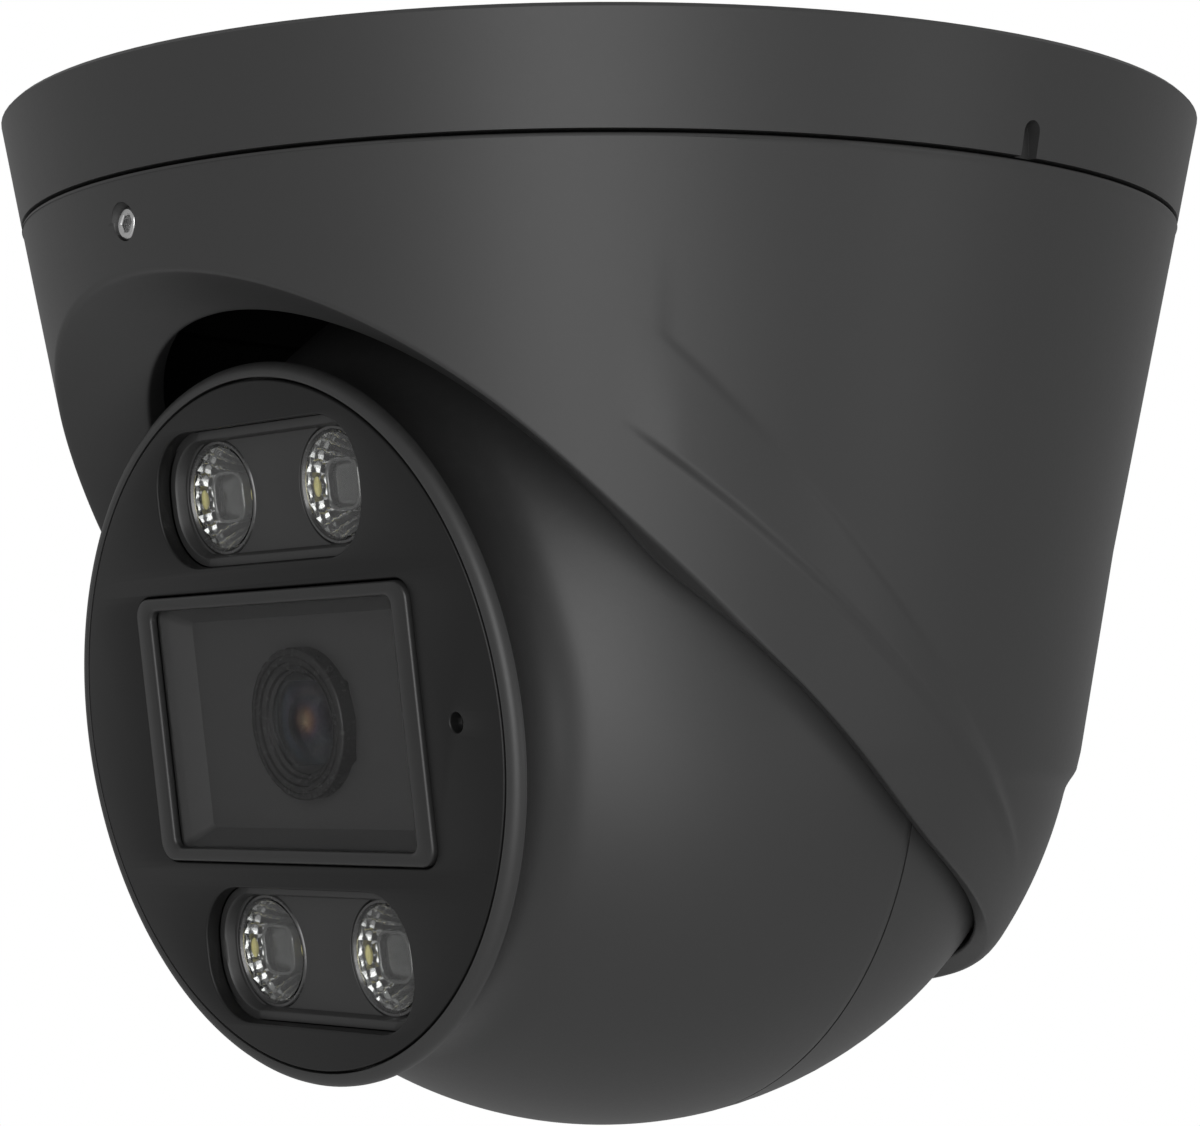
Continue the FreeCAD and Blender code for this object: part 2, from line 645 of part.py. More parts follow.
# ---------------------------------------------------------------- head: face, window and lights
def make_face():
    low = face_back - over
    high = face_level + over
    pockets = [rounded_block(pocket_width, pocket_height, pocket_corner, low, high, 0, pocket_rise * side)
               for side in pocket_places]
    window = rounded_block(window_width, window_height, window_corner, low, high)
    mic = cylinder(mic_hole, low, high, mic_offset)
    plate = cylinder(face_radius, face_back, face_level)
    node("faceplate", cut(plate, window, mic, *pockets), in_head=True)
    frame_foot = 1.2
    frame_back = face_back - frame_foot
    open_width = window_width - window_side * 2
    open_height = window_height - window_top * 2
    rebate = 0.6
    corner = 1.0
    glass_back = glass_level - glass_wall
    glass_width = open_width + rebate * 2
    glass_height = open_height + rebate * 2
    frame = cut(
        rounded_block(window_width, window_height, window_corner, frame_back, face_level + window_rise),
        rounded_block(open_width, open_height, corner, frame_back - over, high + over),
        rounded_block(glass_width, glass_height, corner, frame_back - over, glass_level),
    )
    node("window_frame", frame, in_head=True)
    glass = rounded_block(glass_width, glass_height, corner, glass_back, glass_level)
    node("window_glass", glass, in_head=True)
    hood_height = 4.0
    hood_front = glass_back - slip * 2
    hood_back = hood_front - hood_height
    recess_width = open_width - hood_border * 2
    recess_height = open_height - hood_border * 2
    hood = cut(
        rounded_block(open_width, open_height, corner, hood_back, hood_front),
        block(recess_width, recess_height, hood_front - hood_depth, hood_front + over),
        cylinder(lens_radius + slip, hood_back - over, hood_front + over),
    )
    node("lens_hood", hood, in_head=True)
    mic_length = 2.6
    mic_front = face_back - slip * 2
    gasket_length = 2.4
    gasket_wall = 1.0
    node("microphone", cylinder(mic_radius, mic_front - mic_length, mic_front, mic_offset), in_head=True)
    sleeve = ring(mic_radius + gasket_wall, mic_radius, face_back - gasket_length, face_back, mic_offset)
    node("mic_gasket", sleeve, in_head=True)


def optic(place, side, grow=0):
    """One light's optic: a cone that widens to a short rim."""
    across = light_pitch * place
    up = pocket_rise * side
    rim = 0.5
    low = pocket_floor - light_depth
    return fuse(cone(light_foot + grow, light_radius + grow, low, pocket_floor - rim, across, up),
                cylinder(light_radius + grow, pocket_floor - rim, pocket_floor + grow, across, up))


def make_lights():
    optic_play = 0.05
    holder_wall = 0.8
    board_thickness = 1.2
    recess_radius = 1.9
    recess_depth = 0.8
    chip_side = 2.4
    chip_height = 0.7
    board_front = pocket_floor - light_depth
    inside_neck = neck_bore - slip
    names = {1: "upper", -1: "lower"}
    optics = []
    emitters = []
    for side in pocket_places:
        up = pocket_rise * side
        bores = [optic(place, side, optic_play) for place in light_places]
        bowl = rounded_block(pocket_width, pocket_height, pocket_corner, board_front + over, face_back, 0, up)
        hollow = rounded_block(pocket_width - holder_wall * 2, pocket_height - holder_wall * 2,
                               pocket_corner - holder_wall, pocket_floor, face_level, 0, up)
        holder = cut(common(bowl, cylinder(inside_neck, 0, face_level)), hollow, *bores)
        node(f"light_holder_{names[side]}", holder, in_head=True)
        board_back = board_front - board_thickness
        plate = block(light_board_width, light_board_height, board_back, board_front, 0, up)
        board = common(plate, cylinder(inside_neck, 0, face_level))
        node(f"light_board_{names[side]}", board, in_head=True)
        for place in light_places:
            across = light_pitch * place
            recess = cylinder(recess_radius, board_front - over, board_front + recess_depth, across, up)
            optics.append(cut(optic(place, side), recess))
            chip = block(chip_side, chip_side, board_front, board_front + chip_height, across, up)
            emitters.append(chip)
    node("light_optics", gather(*optics), in_head=True)
    node("light_emitters", gather(*emitters), in_head=True)


# ---------------------------------------------------------------- head: lens, filter, electronics
def make_lens():
    step = lens_front - lens_collar
    back = lens_front - lens_length
    flare = 1.8
    flare_width = 1.6
    barrel = cut(
        fuse(cylinder(lens_radius, step, lens_front), cylinder(thread_radius, back, step)),
        cone(element_radius, element_radius + flare_width, lens_front - flare, lens_front),
        cylinder(element_radius, back - over, lens_front - flare + slip),
    )
    node("lens_barrel", barrel, in_head=True)
    front_height = 4.7
    front_inset = 1.0
    front = common(cylinder(element_radius, lens_front - front_height, lens_front),
                   sphere(element_dome, lens_front - element_dome - front_inset))
    node("front_element", front, in_head=True)
    rear_height = 4.5
    rear_inset = 0.8
    rear = common(cylinder(element_radius, back, back + rear_height),
                  sphere(element_dome, back + element_dome + rear_inset))
    node("rear_element", rear, in_head=True)
    holder_gap = 3.0
    holder = ring(holder_radius, thread_radius, board_level + filter_height, step - holder_gap)
    node("lens_holder", holder, in_head=True)


def make_filter():
    low = board_level
    high = board_level + filter_height
    slide_drop = 2.6
    slide_height = 1.8
    slide_low = low + slide_drop
    slide_high = slide_low + slide_height
    window_side_length = filter_size + 1.0
    window = block(window_side_length, window_side_length, low - over, high + over)
    room = 3.0
    cavity_width = filter_travel * 2 + filter_size + room
    cavity_height = filter_size + room
    cavity = block(cavity_width, cavity_height, slide_low - slip * 2, slide_high + slip * 2)
    well_width = filter_size + 5.0
    well_depth = 1.6
    well = block(well_width, cavity_height, low - over, low + well_depth)
    case = block(cavity_width + room, cavity_height + room, low, high)
    node("filter_housing", cut(case, window, cavity, well), in_head=True)
    middle = -filter_travel / 2
    carriage_width = filter_travel + filter_size + 1.6
    carriage_height = filter_size + 2.4
    carriage = block(carriage_width, carriage_height, slide_low, slide_high, middle)
    seats = [block(filter_size, filter_size, slide_low - over, slide_high + over, place)
             for place in (as_size(0), -filter_travel)]
    node("filter_slider", cut(carriage, *seats), in_head=True)
    filter_low = slide_low + 0.6
    filter_high = filter_low + 0.6
    node("cut_filter", block(filter_size, filter_size, filter_low, filter_high), in_head=True)
    clear = block(filter_size, filter_size, filter_low, filter_high, -filter_travel)
    node("clear_filter", clear, in_head=True)
    coil_width = 9.0
    coil_height = 5.0
    coil_up = (cavity_height + room + coil_height) / 2
    coil = block(coil_width, coil_height, low, low + coil_height, -filter_travel, coil_up)
    node("filter_coil", coil, in_head=True)
    sensor_wall = 1.2
    node("image_sensor", block(window_side_length, filter_size, low, low + sensor_wall), in_head=True)


def make_electronics():
    board_back = board_level - board_wall
    hole_inset = 3.2
    pitch = board_size / 2 - hole_inset
    corners = [(side_x, side_y) for side_x in (-1, 1) for side_y in (-1, 1)]
    holes = [cylinder(board_screw, 0, board_level + over, pitch * x, pitch * y) for x, y in corners]
    board_corner = 2.0
    board = rounded_block(board_size, board_size, board_corner, board_back, board_level)
    node("main_board", cut(board, *holes), in_head=True)
    pad_wall = 1.0
    pad_back = board_back - pad_wall
    node("thermal_pad", block(pad_size, pad_size, pad_back, board_back), in_head=True)
    sink_wall = 2.5
    plate_low = seam_level + sink_wall
    plate_high = plate_low + sink_wall
    fin_wall = 1.4
    fin_depth = 9.0
    fin_pitch = 5.6
    fin_places = range(-3, 4)
    fins = [block(fin_wall, plate_size, plate_low - fin_depth, plate_low + slip, fin_pitch * place)
            for place in fin_places]
    lug_radius = 3.0
    lugs = [cylinder(lug_radius, plate_high, board_back, pitch * x, pitch * y) for x, y in corners]
    pilots = [cylinder(board_screw, plate_low - over, board_level, pitch * x, pitch * y) for x, y in corners]
    plate = cylinder(post_circle + over, plate_low, plate_high)
    island = block(pad_size, pad_size, plate_high, pad_back)
    clearances = post_rods(post_radius + slip, plate_low - over, plate_high + over)
    sink = cut(fuse(plate, island, *fins, *lugs), *clearances, *pilots)
    node("heat_sink", sink, in_head=True)
    screws = []
    cap_radius = 2.2
    cap_height = 1.6
    screw_end = plate_low + 0.5
    for x, y in corners:
        cap = cylinder(cap_radius, board_level, board_level + cap_height, pitch * x, pitch * y)
        stem = cylinder(board_screw, screw_end, board_level, pitch * x, pitch * y)
        screws.append(fuse(cap, stem))
    node("board_screws", gather(*screws), in_head=True)


def save():
    doc.recompute()
    failed = [thing.Name for thing in doc.Objects if "Invalid" in thing.State or "Error" in thing.State]
    if failed:
        raise RuntimeError(f"these objects failed: {failed}")
    for label, thing in made.items():
        if thing.Shape.isNull() or not thing.Shape.isValid():
            raise RuntimeError(f"{label} has no valid shape")
    os.makedirs("parts", exist_ok=True)
    for label, thing in made.items():
        thing.Shape.exportStep(f"parts/{label}.step")
        box = thing.Shape.BoundBox
        print(f"{label}: {len(thing.Shape.Solids)} solids, {thing.Shape.Volume:.0f} mm3, "
              f"z {box.ZMin:.2f} to {box.ZMax:.2f}")


make_base()
make_housing()
make_bracket()
make_rear_shell()
make_front_shell()
make_face()
make_lights()
make_lens()
make_filter()
make_electronics()
save()
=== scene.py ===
"""Looks of the ceiling turret camera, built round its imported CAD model.

Lengths in the classes below are millimetres in the model's own axes: +Z up, the ceiling at zero, the lens to
the front along -Y. Pieces of the head are drawn in the head's axes: X right, Y up and Z out along the lens
axis, with the origin at the ball centre. Meshes are turned into metres when they are made.
"""

import json
import logging
import math
from dataclasses import dataclass, field
from enum import Enum
from typing import Callable, Optional, Sequence

import bmesh
import bpy
import numpy as np
from mathutils import Matrix, Vector


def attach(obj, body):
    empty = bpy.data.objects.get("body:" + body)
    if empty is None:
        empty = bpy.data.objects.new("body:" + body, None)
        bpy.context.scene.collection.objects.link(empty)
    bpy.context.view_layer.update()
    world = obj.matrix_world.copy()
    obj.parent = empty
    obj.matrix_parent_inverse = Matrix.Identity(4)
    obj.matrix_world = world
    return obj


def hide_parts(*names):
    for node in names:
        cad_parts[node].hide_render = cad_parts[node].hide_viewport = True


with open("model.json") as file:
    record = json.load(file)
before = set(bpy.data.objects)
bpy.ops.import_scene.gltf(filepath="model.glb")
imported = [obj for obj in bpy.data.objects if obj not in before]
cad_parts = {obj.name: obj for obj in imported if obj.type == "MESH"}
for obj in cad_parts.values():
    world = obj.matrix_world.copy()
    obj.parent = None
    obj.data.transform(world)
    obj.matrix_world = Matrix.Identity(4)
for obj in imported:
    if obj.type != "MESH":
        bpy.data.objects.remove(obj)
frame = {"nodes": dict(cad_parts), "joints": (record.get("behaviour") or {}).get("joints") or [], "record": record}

LOG = logging.getLogger("turret_camera")
MM = 0.001
BEVEL_STEPS = 2
BEVEL_ANGLE = 35.0
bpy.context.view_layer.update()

Array = np.ndarray


class Look(Enum):
    """The finishes that a piece can be given."""

    HOUSING = "housing_plastic"
    SHELL = "shell_plastic"
    FACE = "face_plastic"
    BEZEL = "bezel_plastic"
    INSERT = "insert_plastic"
    PAINTED_LIGHT_HOOD = "hood_painted_light"
    GLASS = "clear_glass"
    LENS_GLASS = "lens_glass"
    TINTED = "tinted_glass"
    OPTIC_COVER = "optic_cover"
    OPTIC_MIRROR = "optic_mirror"
    OPTIC_CORE = "optic_core"
    PHOSPHOR = "phosphor"
    RUBBER = "seal_rubber"
    LAMINATE = "board_laminate"
    SENSOR = "sensor_glass"
    ALUMINIUM = "heat_aluminium"
    ANODISED = "anodised_black"
    STAINLESS = "stainless"
    COATING = "lens_coating"


# ------------------------------------------------------------------------------ small numeric tools
def smooth_step(values: Array, low: float, high: float) -> Array:
    """Rises smoothly from 0 at low to 1 at high.

    Args:
        values: where to read the step.
        low: the value at which the step leaves 0.
        high: the value at which it reaches 1.

    Returns:
        The step at each value.
    """
    t = np.clip((values - low) / (high - low), 0.0, 1.0)
    return t * t * (3.0 - 2.0 * t)


def soft_min(first: Array, second: Array, blend: float) -> Array:
    """The lower of two surfaces, with the crease between them rounded over a length of blend."""
    return -blend * np.logaddexp(-first / blend, -second / blend)


def soft_max(first: Array, second: Array, blend: float) -> Array:
    """The higher of two surfaces, with the crease between them rounded over a length of blend."""
    return blend * np.logaddexp(first / blend, second / blend)


def full_turn(count: int) -> Array:
    """Evenly spaced angles from 0 up to, and without, a full turn."""
    return np.linspace(0.0, math.tau, count, endpoint=False)


def clustered(count: int, spots: Sequence[tuple[float, float, int]]) -> Array:
    """Angles round a full turn, closer together at chosen spots.

    Args:
        count: how many angles are spaced evenly.
        spots: centre, half-width and count of each dense stretch, angles in radians.

    Returns:
        Sorted angles from 0 up to, and without, a full turn.
    """
    angles = [full_turn(count)]
    for centre, half, number in spots:
        angles.append(np.mod(np.linspace(centre - half, centre + half, number), math.tau))
    merged = np.unique(np.round(np.concatenate(angles), 6))
    return merged[np.concatenate(([True], np.diff(merged) > 1e-4))]


def rounded_outline(corners: Sequence[tuple[float, float, float]], steps: int = 6) -> Array:
    """A closed outline whose corners are rounded.

    A corner of radius r between two straight runs is replaced by the arc that touches both runs.

    Args:
        corners: across, up and corner radius of each corner, in order.
        steps: how many pieces each arc has.

    Returns:
        Points of the outline, one row each.
    """
    places = np.array([corner[:2] for corner in corners], float)
    parts = []
    for index, (_, _, radius) in enumerate(corners):
        here = places[index]
        back = places[index - 1] - here
        ahead = places[(index + 1) % len(corners)] - here
        back /= np.linalg.norm(back)
        ahead /= np.linalg.norm(ahead)
        half = math.acos(float(np.clip(back @ ahead, -1.0, 1.0))) / 2.0
        if radius <= 0.0 or abs(half - math.pi / 2.0) < 1e-3:
            parts.append(here[None, :])
            continue
        reach = radius / math.tan(half)
        middle = here + (back + ahead) / np.linalg.norm(back + ahead) * radius / math.sin(half)
        start = here + back * reach - middle
        end = here + ahead * reach - middle
        swing = math.atan2(start[0] * end[1] - start[1] * end[0], float(start @ end))
        turn = np.linspace(0.0, swing, steps + 1)
        cosine, sine = np.cos(turn), np.sin(turn)
        arc = np.stack((start[0] * cosine - start[1] * sine, start[0] * sine + start[1] * cosine), 1)
        parts.append(middle + arc)
    return np.concatenate(parts)


def bend(start: Array, corner: Array, end: Array, steps: int) -> list[Array]:
    """Rows of the parabola that leaves start towards corner and arrives at end from it.

    Args:
        start: first row of points.
        corner: the rows' control points.
        end: last row of points.
        steps: how many rows lie between start and end, both left out.

    Returns:
        The rows between start and end.
    """
    rows = []
    for t in np.linspace(0.0, 1.0, steps + 2)[1:-1]:
        rows.append((1 - t) ** 2 * start + 2 * t * (1 - t) * corner + t ** 2 * end)
    return rows


def superloop(width: float, height: float, corner: float, steps: int = 10) -> Array:
    """A rectangle with rounded corners, as a closed loop of (x, y)."""
    x = width / 2.0
    y = height / 2.0
    r = max(corner, 0.01)
    return rounded_outline([(x, -y, r), (x, y, r), (-x, y, r), (-x, -y, r)], steps)


def circle(radius: float, count: int, x: float = 0.0, y: float = 0.0) -> Array:
    """A closed loop of (x, y) on a circle."""
    turn = full_turn(count)
    return np.stack((x + radius * np.cos(turn), y + radius * np.sin(turn)), 1)


# ----------------------------------------------------------------------------------- frames of axes
@dataclass(frozen=True)
class Axes:
    """A place and three directions in which pieces are drawn."""

    origin: Array
    right: Array
    up: Array
    out: Array

    def place(self, points: Array) -> Array:
        """Turns points given as (right, up, out) into points of the model, in millimetres."""
        local = np.asarray(points, float)
        return (self.origin + local[..., 0:1] * self.right + local[..., 1:2] * self.up
                + local[..., 2:3] * self.out)


def joint_named(name: str) -> dict:
    """The record's joint of that name."""
    return next(joint for joint in frame["joints"] if joint["name"] == name)


def axes_below_horizon(degrees: float) -> Axes:
    """Axes at the ball centre whose out direction points to the front, some degrees below the horizon."""
    angle = math.radians(degrees)
    out = np.array([0.0, -math.cos(angle), -math.sin(angle)])
    right = np.array([1.0, 0.0, 0.0])
    return Axes(BALL_CENTRE, right, np.cross(out, right), out)


BALL_CENTRE = np.array(joint_named("tilt")["pos_m"]) / MM
LENS_AXIS = np.array(joint_named("roll")["axis"], float)
HEAD_TILT = math.degrees(math.atan2(-LENS_AXIS[2], -LENS_AXIS[1]))
HEAD = axes_below_horizon(HEAD_TILT)


# ------------------------------------------------------------------------------------ mesh building
class Maker:
    """Turns arrays of points into meshes, dresses them and attaches them to their bodies."""

    def __init__(self, palette: "Palette") -> None:
        """Keeps the palette that finishes come from."""
        self.palette = palette
        self.count = 0

    def finish(self, name: str, vertices: Array, faces: Array, look: Look, body: str,
               replaces: Sequence[str] = (), slot: Optional[str] = None,
               crease: float = 38.0) -> bpy.types.Object:
        """Makes an object from vertices and faces, closes its seams and gives it a look and a body.

        Args:
            name: the piece's name.
            vertices: points of the model in millimetres.
            faces: indices of each face's corners, with -1 where a row is short.
            look: the finish.
            body: the CAD body that the piece moves with.
            replaces: CAD nodes that the piece stands for.
            slot: the record's material slot, where it isn't the look's own. Not used.
            crease: edges sharper than this many degrees stay sharp.

        Returns:
            The new object.
        """
        mesh = bpy.data.meshes.new(name)
        corners = [tuple(int(i) for i in face if i >= 0) for face in faces]
        mesh.from_pydata((np.asarray(vertices, float) * MM).tolist(), [], corners)
        sheet = bmesh.new()
        sheet.from_mesh(mesh)
        bmesh.ops.remove_doubles(sheet, verts=sheet.verts, dist=2e-7)
        bmesh.ops.dissolve_degenerate(sheet, edges=sheet.edges, dist=1e-7)
        bmesh.ops.recalc_face_normals(sheet, faces=sheet.faces)
        sheet.to_mesh(mesh)
        sheet.free()
        mesh.shade_smooth()
        mesh.set_sharp_from_angle(angle=math.radians(crease))
        piece = bpy.data.objects.new(name, mesh)
        bpy.context.scene.collection.objects.link(piece)
        mesh.materials.append(self.palette.material(look))
        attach(piece, body)
        if replaces:
            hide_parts(*replaces)
        self.count += 1
        LOG.info("%s: %d faces on %s", name, len(mesh.polygons), body)
        return piece

    def grid(self, name: str, rows: Array, look: Look, body: str, **options) -> bpy.types.Object:
        """Makes a surface from rows of points. Each row closes on itself.

        Args:
            name: the piece's name.
            rows: points as (row, column, 3), in millimetres.
            look: the finish.
            body: the CAD body.
            options: passed on to finish.

        Returns:
            The new object.
        """
        vertices, faces = grid_faces(rows)
        return self.finish(name, vertices, faces, look, body, **options)


def grid_faces(rows: Array, wrap_rows: bool = True) -> tuple[Array, Array]:
    """Vertices and four-sided faces of a surface given as rows of points, each row a closed ring."""
    rows = np.asarray(rows, float)
    count, across = rows.shape[:2]
    index = np.arange(count * across).reshape(count, across)
    below = index if wrap_rows else index[:-1]
    above = np.roll(index, -1, axis=0) if wrap_rows else index[1:]
    faces = np.stack((below, np.roll(below, -1, axis=1), np.roll(above, -1, axis=1), above), -1)
    return rows.reshape(-1, 3), faces.reshape(-1, 4)


def turned(outline: Array, axes: Axes, angles: Array, x: float = 0.0, y: float = 0.0) -> Array:
    """A surface of revolution: the outline (radius, level) carried round an axis through (x, y).

    Args:
        outline: radius and level of each point.
        axes: the axes to draw in. The surface turns round their out direction.
        angles: the angles of the columns.
        x: place of the axis to the right.
        y: place of the axis upwards.

    Returns:
        Points as (row, column, 3).
    """
    radius, level = outline[:, 0:1], outline[:, 1:2]
    points = np.stack((x + radius * np.cos(angles), y + radius * np.sin(angles),
                       level + 0.0 * angles), -1)
    return axes.place(points)


def swept_rectangle(profile: Sequence[tuple[float, float]], width: float, height: float, corner: float,
                    axes: Axes, x: float = 0.0, y: float = 0.0, steps: int = 8) -> Array:
    """A profile carried round a rectangle with rounded corners.

    Args:
        profile: how far inside the rectangle, and the level, of each row.
        width: width of the rectangle.
        height: height of the rectangle.
        corner: its corner radius.
        axes: the axes to draw in.
        x: place of its centre to the right.
        y: place of its centre upwards.
        steps: pieces of each corner's arc.

    Returns:
        Points as (row, column, 3).
    """
    rows = []
    for inset, level in profile:
        loop = superloop(width - 2 * inset, height - 2 * inset, max(corner - inset, 0.05), steps)
        ring = np.column_stack((loop[:, 0] + x, loop[:, 1] + y, np.full(len(loop), level)))
        rows.append(axes.place(ring))
    return np.array(rows)


def plate_with_holes(loops: Sequence[Array], low: float, high: float, edge: float,
                     axes: Axes) -> tuple[Array, Array]:
    """A flat plate with holes, its edges rounded.

    A two-dimensional curve with one closed spline per loop is filled, thickened and bevelled, and its mesh is
    read back.

    Args:
        loops: the outline first, then the holes, each as (x, y) points.
        low: level of the back.
        high: level of the front.
        edge: size of the rounded edge.
        axes: the axes to draw in.

    Returns:
        Vertices and faces.
    """
    curve = bpy.data.curves.new("plate", "CURVE")
    curve.dimensions = "2D"
    curve.fill_mode = "BOTH"
    curve.extrude = (high - low) / 2.0 - edge
    curve.bevel_depth = edge
    curve.bevel_resolution = 2
    curve.offset = -edge
    for loop in loops:
        spline = curve.splines.new("POLY")
        spline.points.add(len(loop) - 1)
        places = np.column_stack((loop, np.zeros(len(loop)), np.ones(len(loop))))
        spline.points.foreach_set("co", places.ravel())
        spline.use_cyclic_u = True
    holder = bpy.data.objects.new("plate", curve)
    bpy.context.scene.collection.objects.link(holder)
    bpy.context.view_layer.update()
    mesh = bpy.data.meshes.new_from_object(holder.evaluated_get(bpy.context.evaluated_depsgraph_get()))
    flat = np.zeros(len(mesh.vertices) * 3, np.float64)
    mesh.vertices.foreach_get("co", flat)
    local = flat.reshape(-1, 3) + np.array([0.0, 0.0, (low + high) / 2.0])
    longest = max(len(polygon.vertices) for polygon in mesh.polygons)
    faces = np.full((len(mesh.polygons), longest), -1, int)
    for number, polygon in enumerate(mesh.polygons):
        faces[number, :len(polygon.vertices)] = polygon.vertices[:]
    bpy.data.objects.remove(holder)
    bpy.data.meshes.remove(mesh)
    bpy.data.curves.remove(curve)
    return axes.place(local), faces


def joined(parts: Sequence[tuple[Array, Array]]) -> tuple[Array, Array]:
    """Several meshes as one, with the shorter faces padded by -1."""
    width = max(faces.shape[1] for _, faces in parts)
    vertices, corners, start = [], [], 0
    for points, faces in parts:
        padded = np.full((len(faces), width), -1, int)
        padded[:, :faces.shape[1]] = np.where(faces >= 0, faces + start, -1)
        vertices.append(points)
        corners.append(padded)
        start += len(points)
    return np.concatenate(vertices), np.concatenate(corners)


def cad_mesh(node: str) -> tuple[Array, Array]:
    """Vertices in millimetres and triangles of a CAD node, with its loose triangles joined."""
    mesh = frame["nodes"][node].data
    flat = np.zeros(len(mesh.vertices) * 3, np.float64)
    mesh.vertices.foreach_get("co", flat)
    mesh.calc_loop_triangles()
    corners = np.zeros(len(mesh.loop_triangles) * 3, np.int64)
    mesh.loop_triangles.foreach_get("vertices", corners)
    rounded, index = np.unique(np.round(flat.reshape(-1, 3) / MM, 4), axis=0, return_inverse=True)
    faces = index.ravel()[corners].reshape(-1, 3)
    whole = (faces[:, 0] != faces[:, 1]) & (faces[:, 1] != faces[:, 2]) & (faces[:, 0] != faces[:, 2])
    return rounded, faces[whole]


def soften(piece: bpy.types.Object, width: float) -> None:
    """Rounds a piece's sharp edges with a bevel of that width in millimetres."""
    bevel = piece.modifiers.new("soft_edges", "BEVEL")
    bevel.width = width * MM
    bevel.segments = BEVEL_STEPS
    bevel.limit_method = "ANGLE"
    bevel.angle_limit = math.radians(BEVEL_ANGLE)
    bevel.harden_normals = False
    bevel.use_clamp_overlap = True


def arc(x: float, y: float, radius: float, start: float, end: float, steps: int) -> list[tuple[float, float]]:
    """Points on an arc round (x, y), from one angle to another in degrees."""
    turn = np.radians(np.linspace(start, end, steps + 1))
    return list(zip(x + radius * np.cos(turn), y + radius * np.sin(turn)))


# ---------------------------------------------------------------------------------------- materials
class Graph:
    """A short way to write a node tree."""

    def __init__(self, tree: bpy.types.NodeTree) -> None:
        """Keeps the tree."""
        self.tree = tree

    def node(self, kind: str, inputs: Optional[dict] = None, **settings) -> bpy.types.Node:
        """Adds a node.

        Args:
            kind: the node's type.
            inputs: value or socket for each input, by name or number.
            settings: the node's own properties.

        Returns:
            The node.
        """
        made = self.tree.nodes.new(kind)
        for name, value in settings.items():
            setattr(made, name, value)
        for name, value in (inputs or {}).items():
            socket = made.inputs[name]
            if isinstance(value, bpy.types.NodeSocket):
                self.tree.links.new(value, socket)
            else:
                socket.default_value = value
        return made

    def math(self, operation: str, first, second=0.0) -> bpy.types.NodeSocket:
        """The result of a sum on two sockets or numbers."""
        return self.node("ShaderNodeMath", {0: first, 1: second}, operation=operation).outputs[0]

    def band(self, value, low: float, high: float, out_low: float = 0.0,
             out_high: float = 1.0) -> bpy.types.NodeSocket:
        """A value brought smoothly from one range to another."""
        ranged = self.node("ShaderNodeMapRange", {"Value": value, "From Min": low, "From Max": high,
                                                  "To Min": out_low, "To Max": out_high},
                           interpolation_type="SMOOTHSTEP")
        return ranged.outputs[0]


def new_group(name: str, inputs: Sequence[tuple[str, str, object]],
              outputs: Sequence[tuple[str, str]]) -> tuple[
        bpy.types.NodeTree, Graph, bpy.types.Node, bpy.types.Node]:
    """An empty shader group with named sockets.

    Args:
        name: the group's name.
        inputs: name, socket type and default of each input.
        outputs: name and socket type of each output.

    Returns:
        The group, its graph, and its input and output nodes.
    """
    tree = bpy.data.node_groups.new(name, "ShaderNodeTree")
    for label, kind, default in inputs:
        socket = tree.interface.new_socket(label, in_out="INPUT", socket_type=kind)
        if default is not None:
            socket.default_value = default
    for label, kind in outputs:
        tree.interface.new_socket(label, in_out="OUTPUT", socket_type=kind)
    graph = Graph(tree)
    return tree, graph, graph.node("NodeGroupInput"), graph.node("NodeGroupOutput")


FLOAT, COLOUR = "NodeSocketFloat", "NodeSocketColor"
Colour = tuple[float, float, float, float]


def grey(value: float) -> Colour:
    """A neutral colour of that linear brightness."""
    return (value, value, value, 1.0)


def moulded_group() -> bpy.types.NodeTree:
    """The skin of moulded plastic.

    A fine spark-eroded grain is the sum of a noise and a pattern of cells. Slow mottling shifts the colour
    and the gloss.
    """
    tree, graph, given, result = new_group(
        "moulded_skin",
        [("Colour", COLOUR, grey(0.03)), ("Roughness", FLOAT, 0.45), ("Grain Scale", FLOAT, 3000.0),
         ("Mottle", FLOAT, 0.1), ("Gloss Spread", FLOAT, 0.06)],
        [("Colour", COLOUR), ("Roughness", FLOAT), ("Height", FLOAT)])
    place = graph.node("ShaderNodeTexCoord").outputs["Object"]
    fine = graph.node("ShaderNodeTexNoise",
                      {"Vector": place, "Scale": given.outputs["Grain Scale"], "Detail": 2.0,
                                             "Roughness": 0.6}).outputs["Fac"]
    cells = graph.node("ShaderNodeTexVoronoi", {"Vector": place, "Scale": given.outputs["Grain Scale"]},
                       feature="SMOOTH_F1").outputs["Distance"]
    slow = graph.node("ShaderNodeTexNoise", {"Vector": place, "Scale": 38.0, "Detail": 3.0,
                                             "Roughness": 0.55}).outputs["Fac"]
    centred = graph.math("SUBTRACT", slow, 0.5)
    swing = graph.math("ADD", graph.math("MULTIPLY", graph.math("MULTIPLY", centred, given.outputs["Mottle"]),
                                         2.0), 1.0)
    tint = graph.node("ShaderNodeVectorMath", {0: given.outputs["Colour"]}, operation="SCALE")
    tree.links.new(swing, tint.inputs["Scale"])
    tree.links.new(tint.outputs[0], result.inputs["Colour"])
    rough = graph.math("ADD", given.outputs["Roughness"],
                       graph.math("MULTIPLY", graph.math("ADD", centred, graph.math("SUBTRACT", fine, 0.5)),
                                  given.outputs["Gloss Spread"]))
    tree.links.new(graph.math("MAXIMUM", rough, 0.05), result.inputs["Roughness"])
    tree.links.new(graph.math("ADD", graph.math("MULTIPLY", fine, 0.6), graph.math("MULTIPLY", cells, 0.4)),
                   result.inputs["Height"])
    return tree


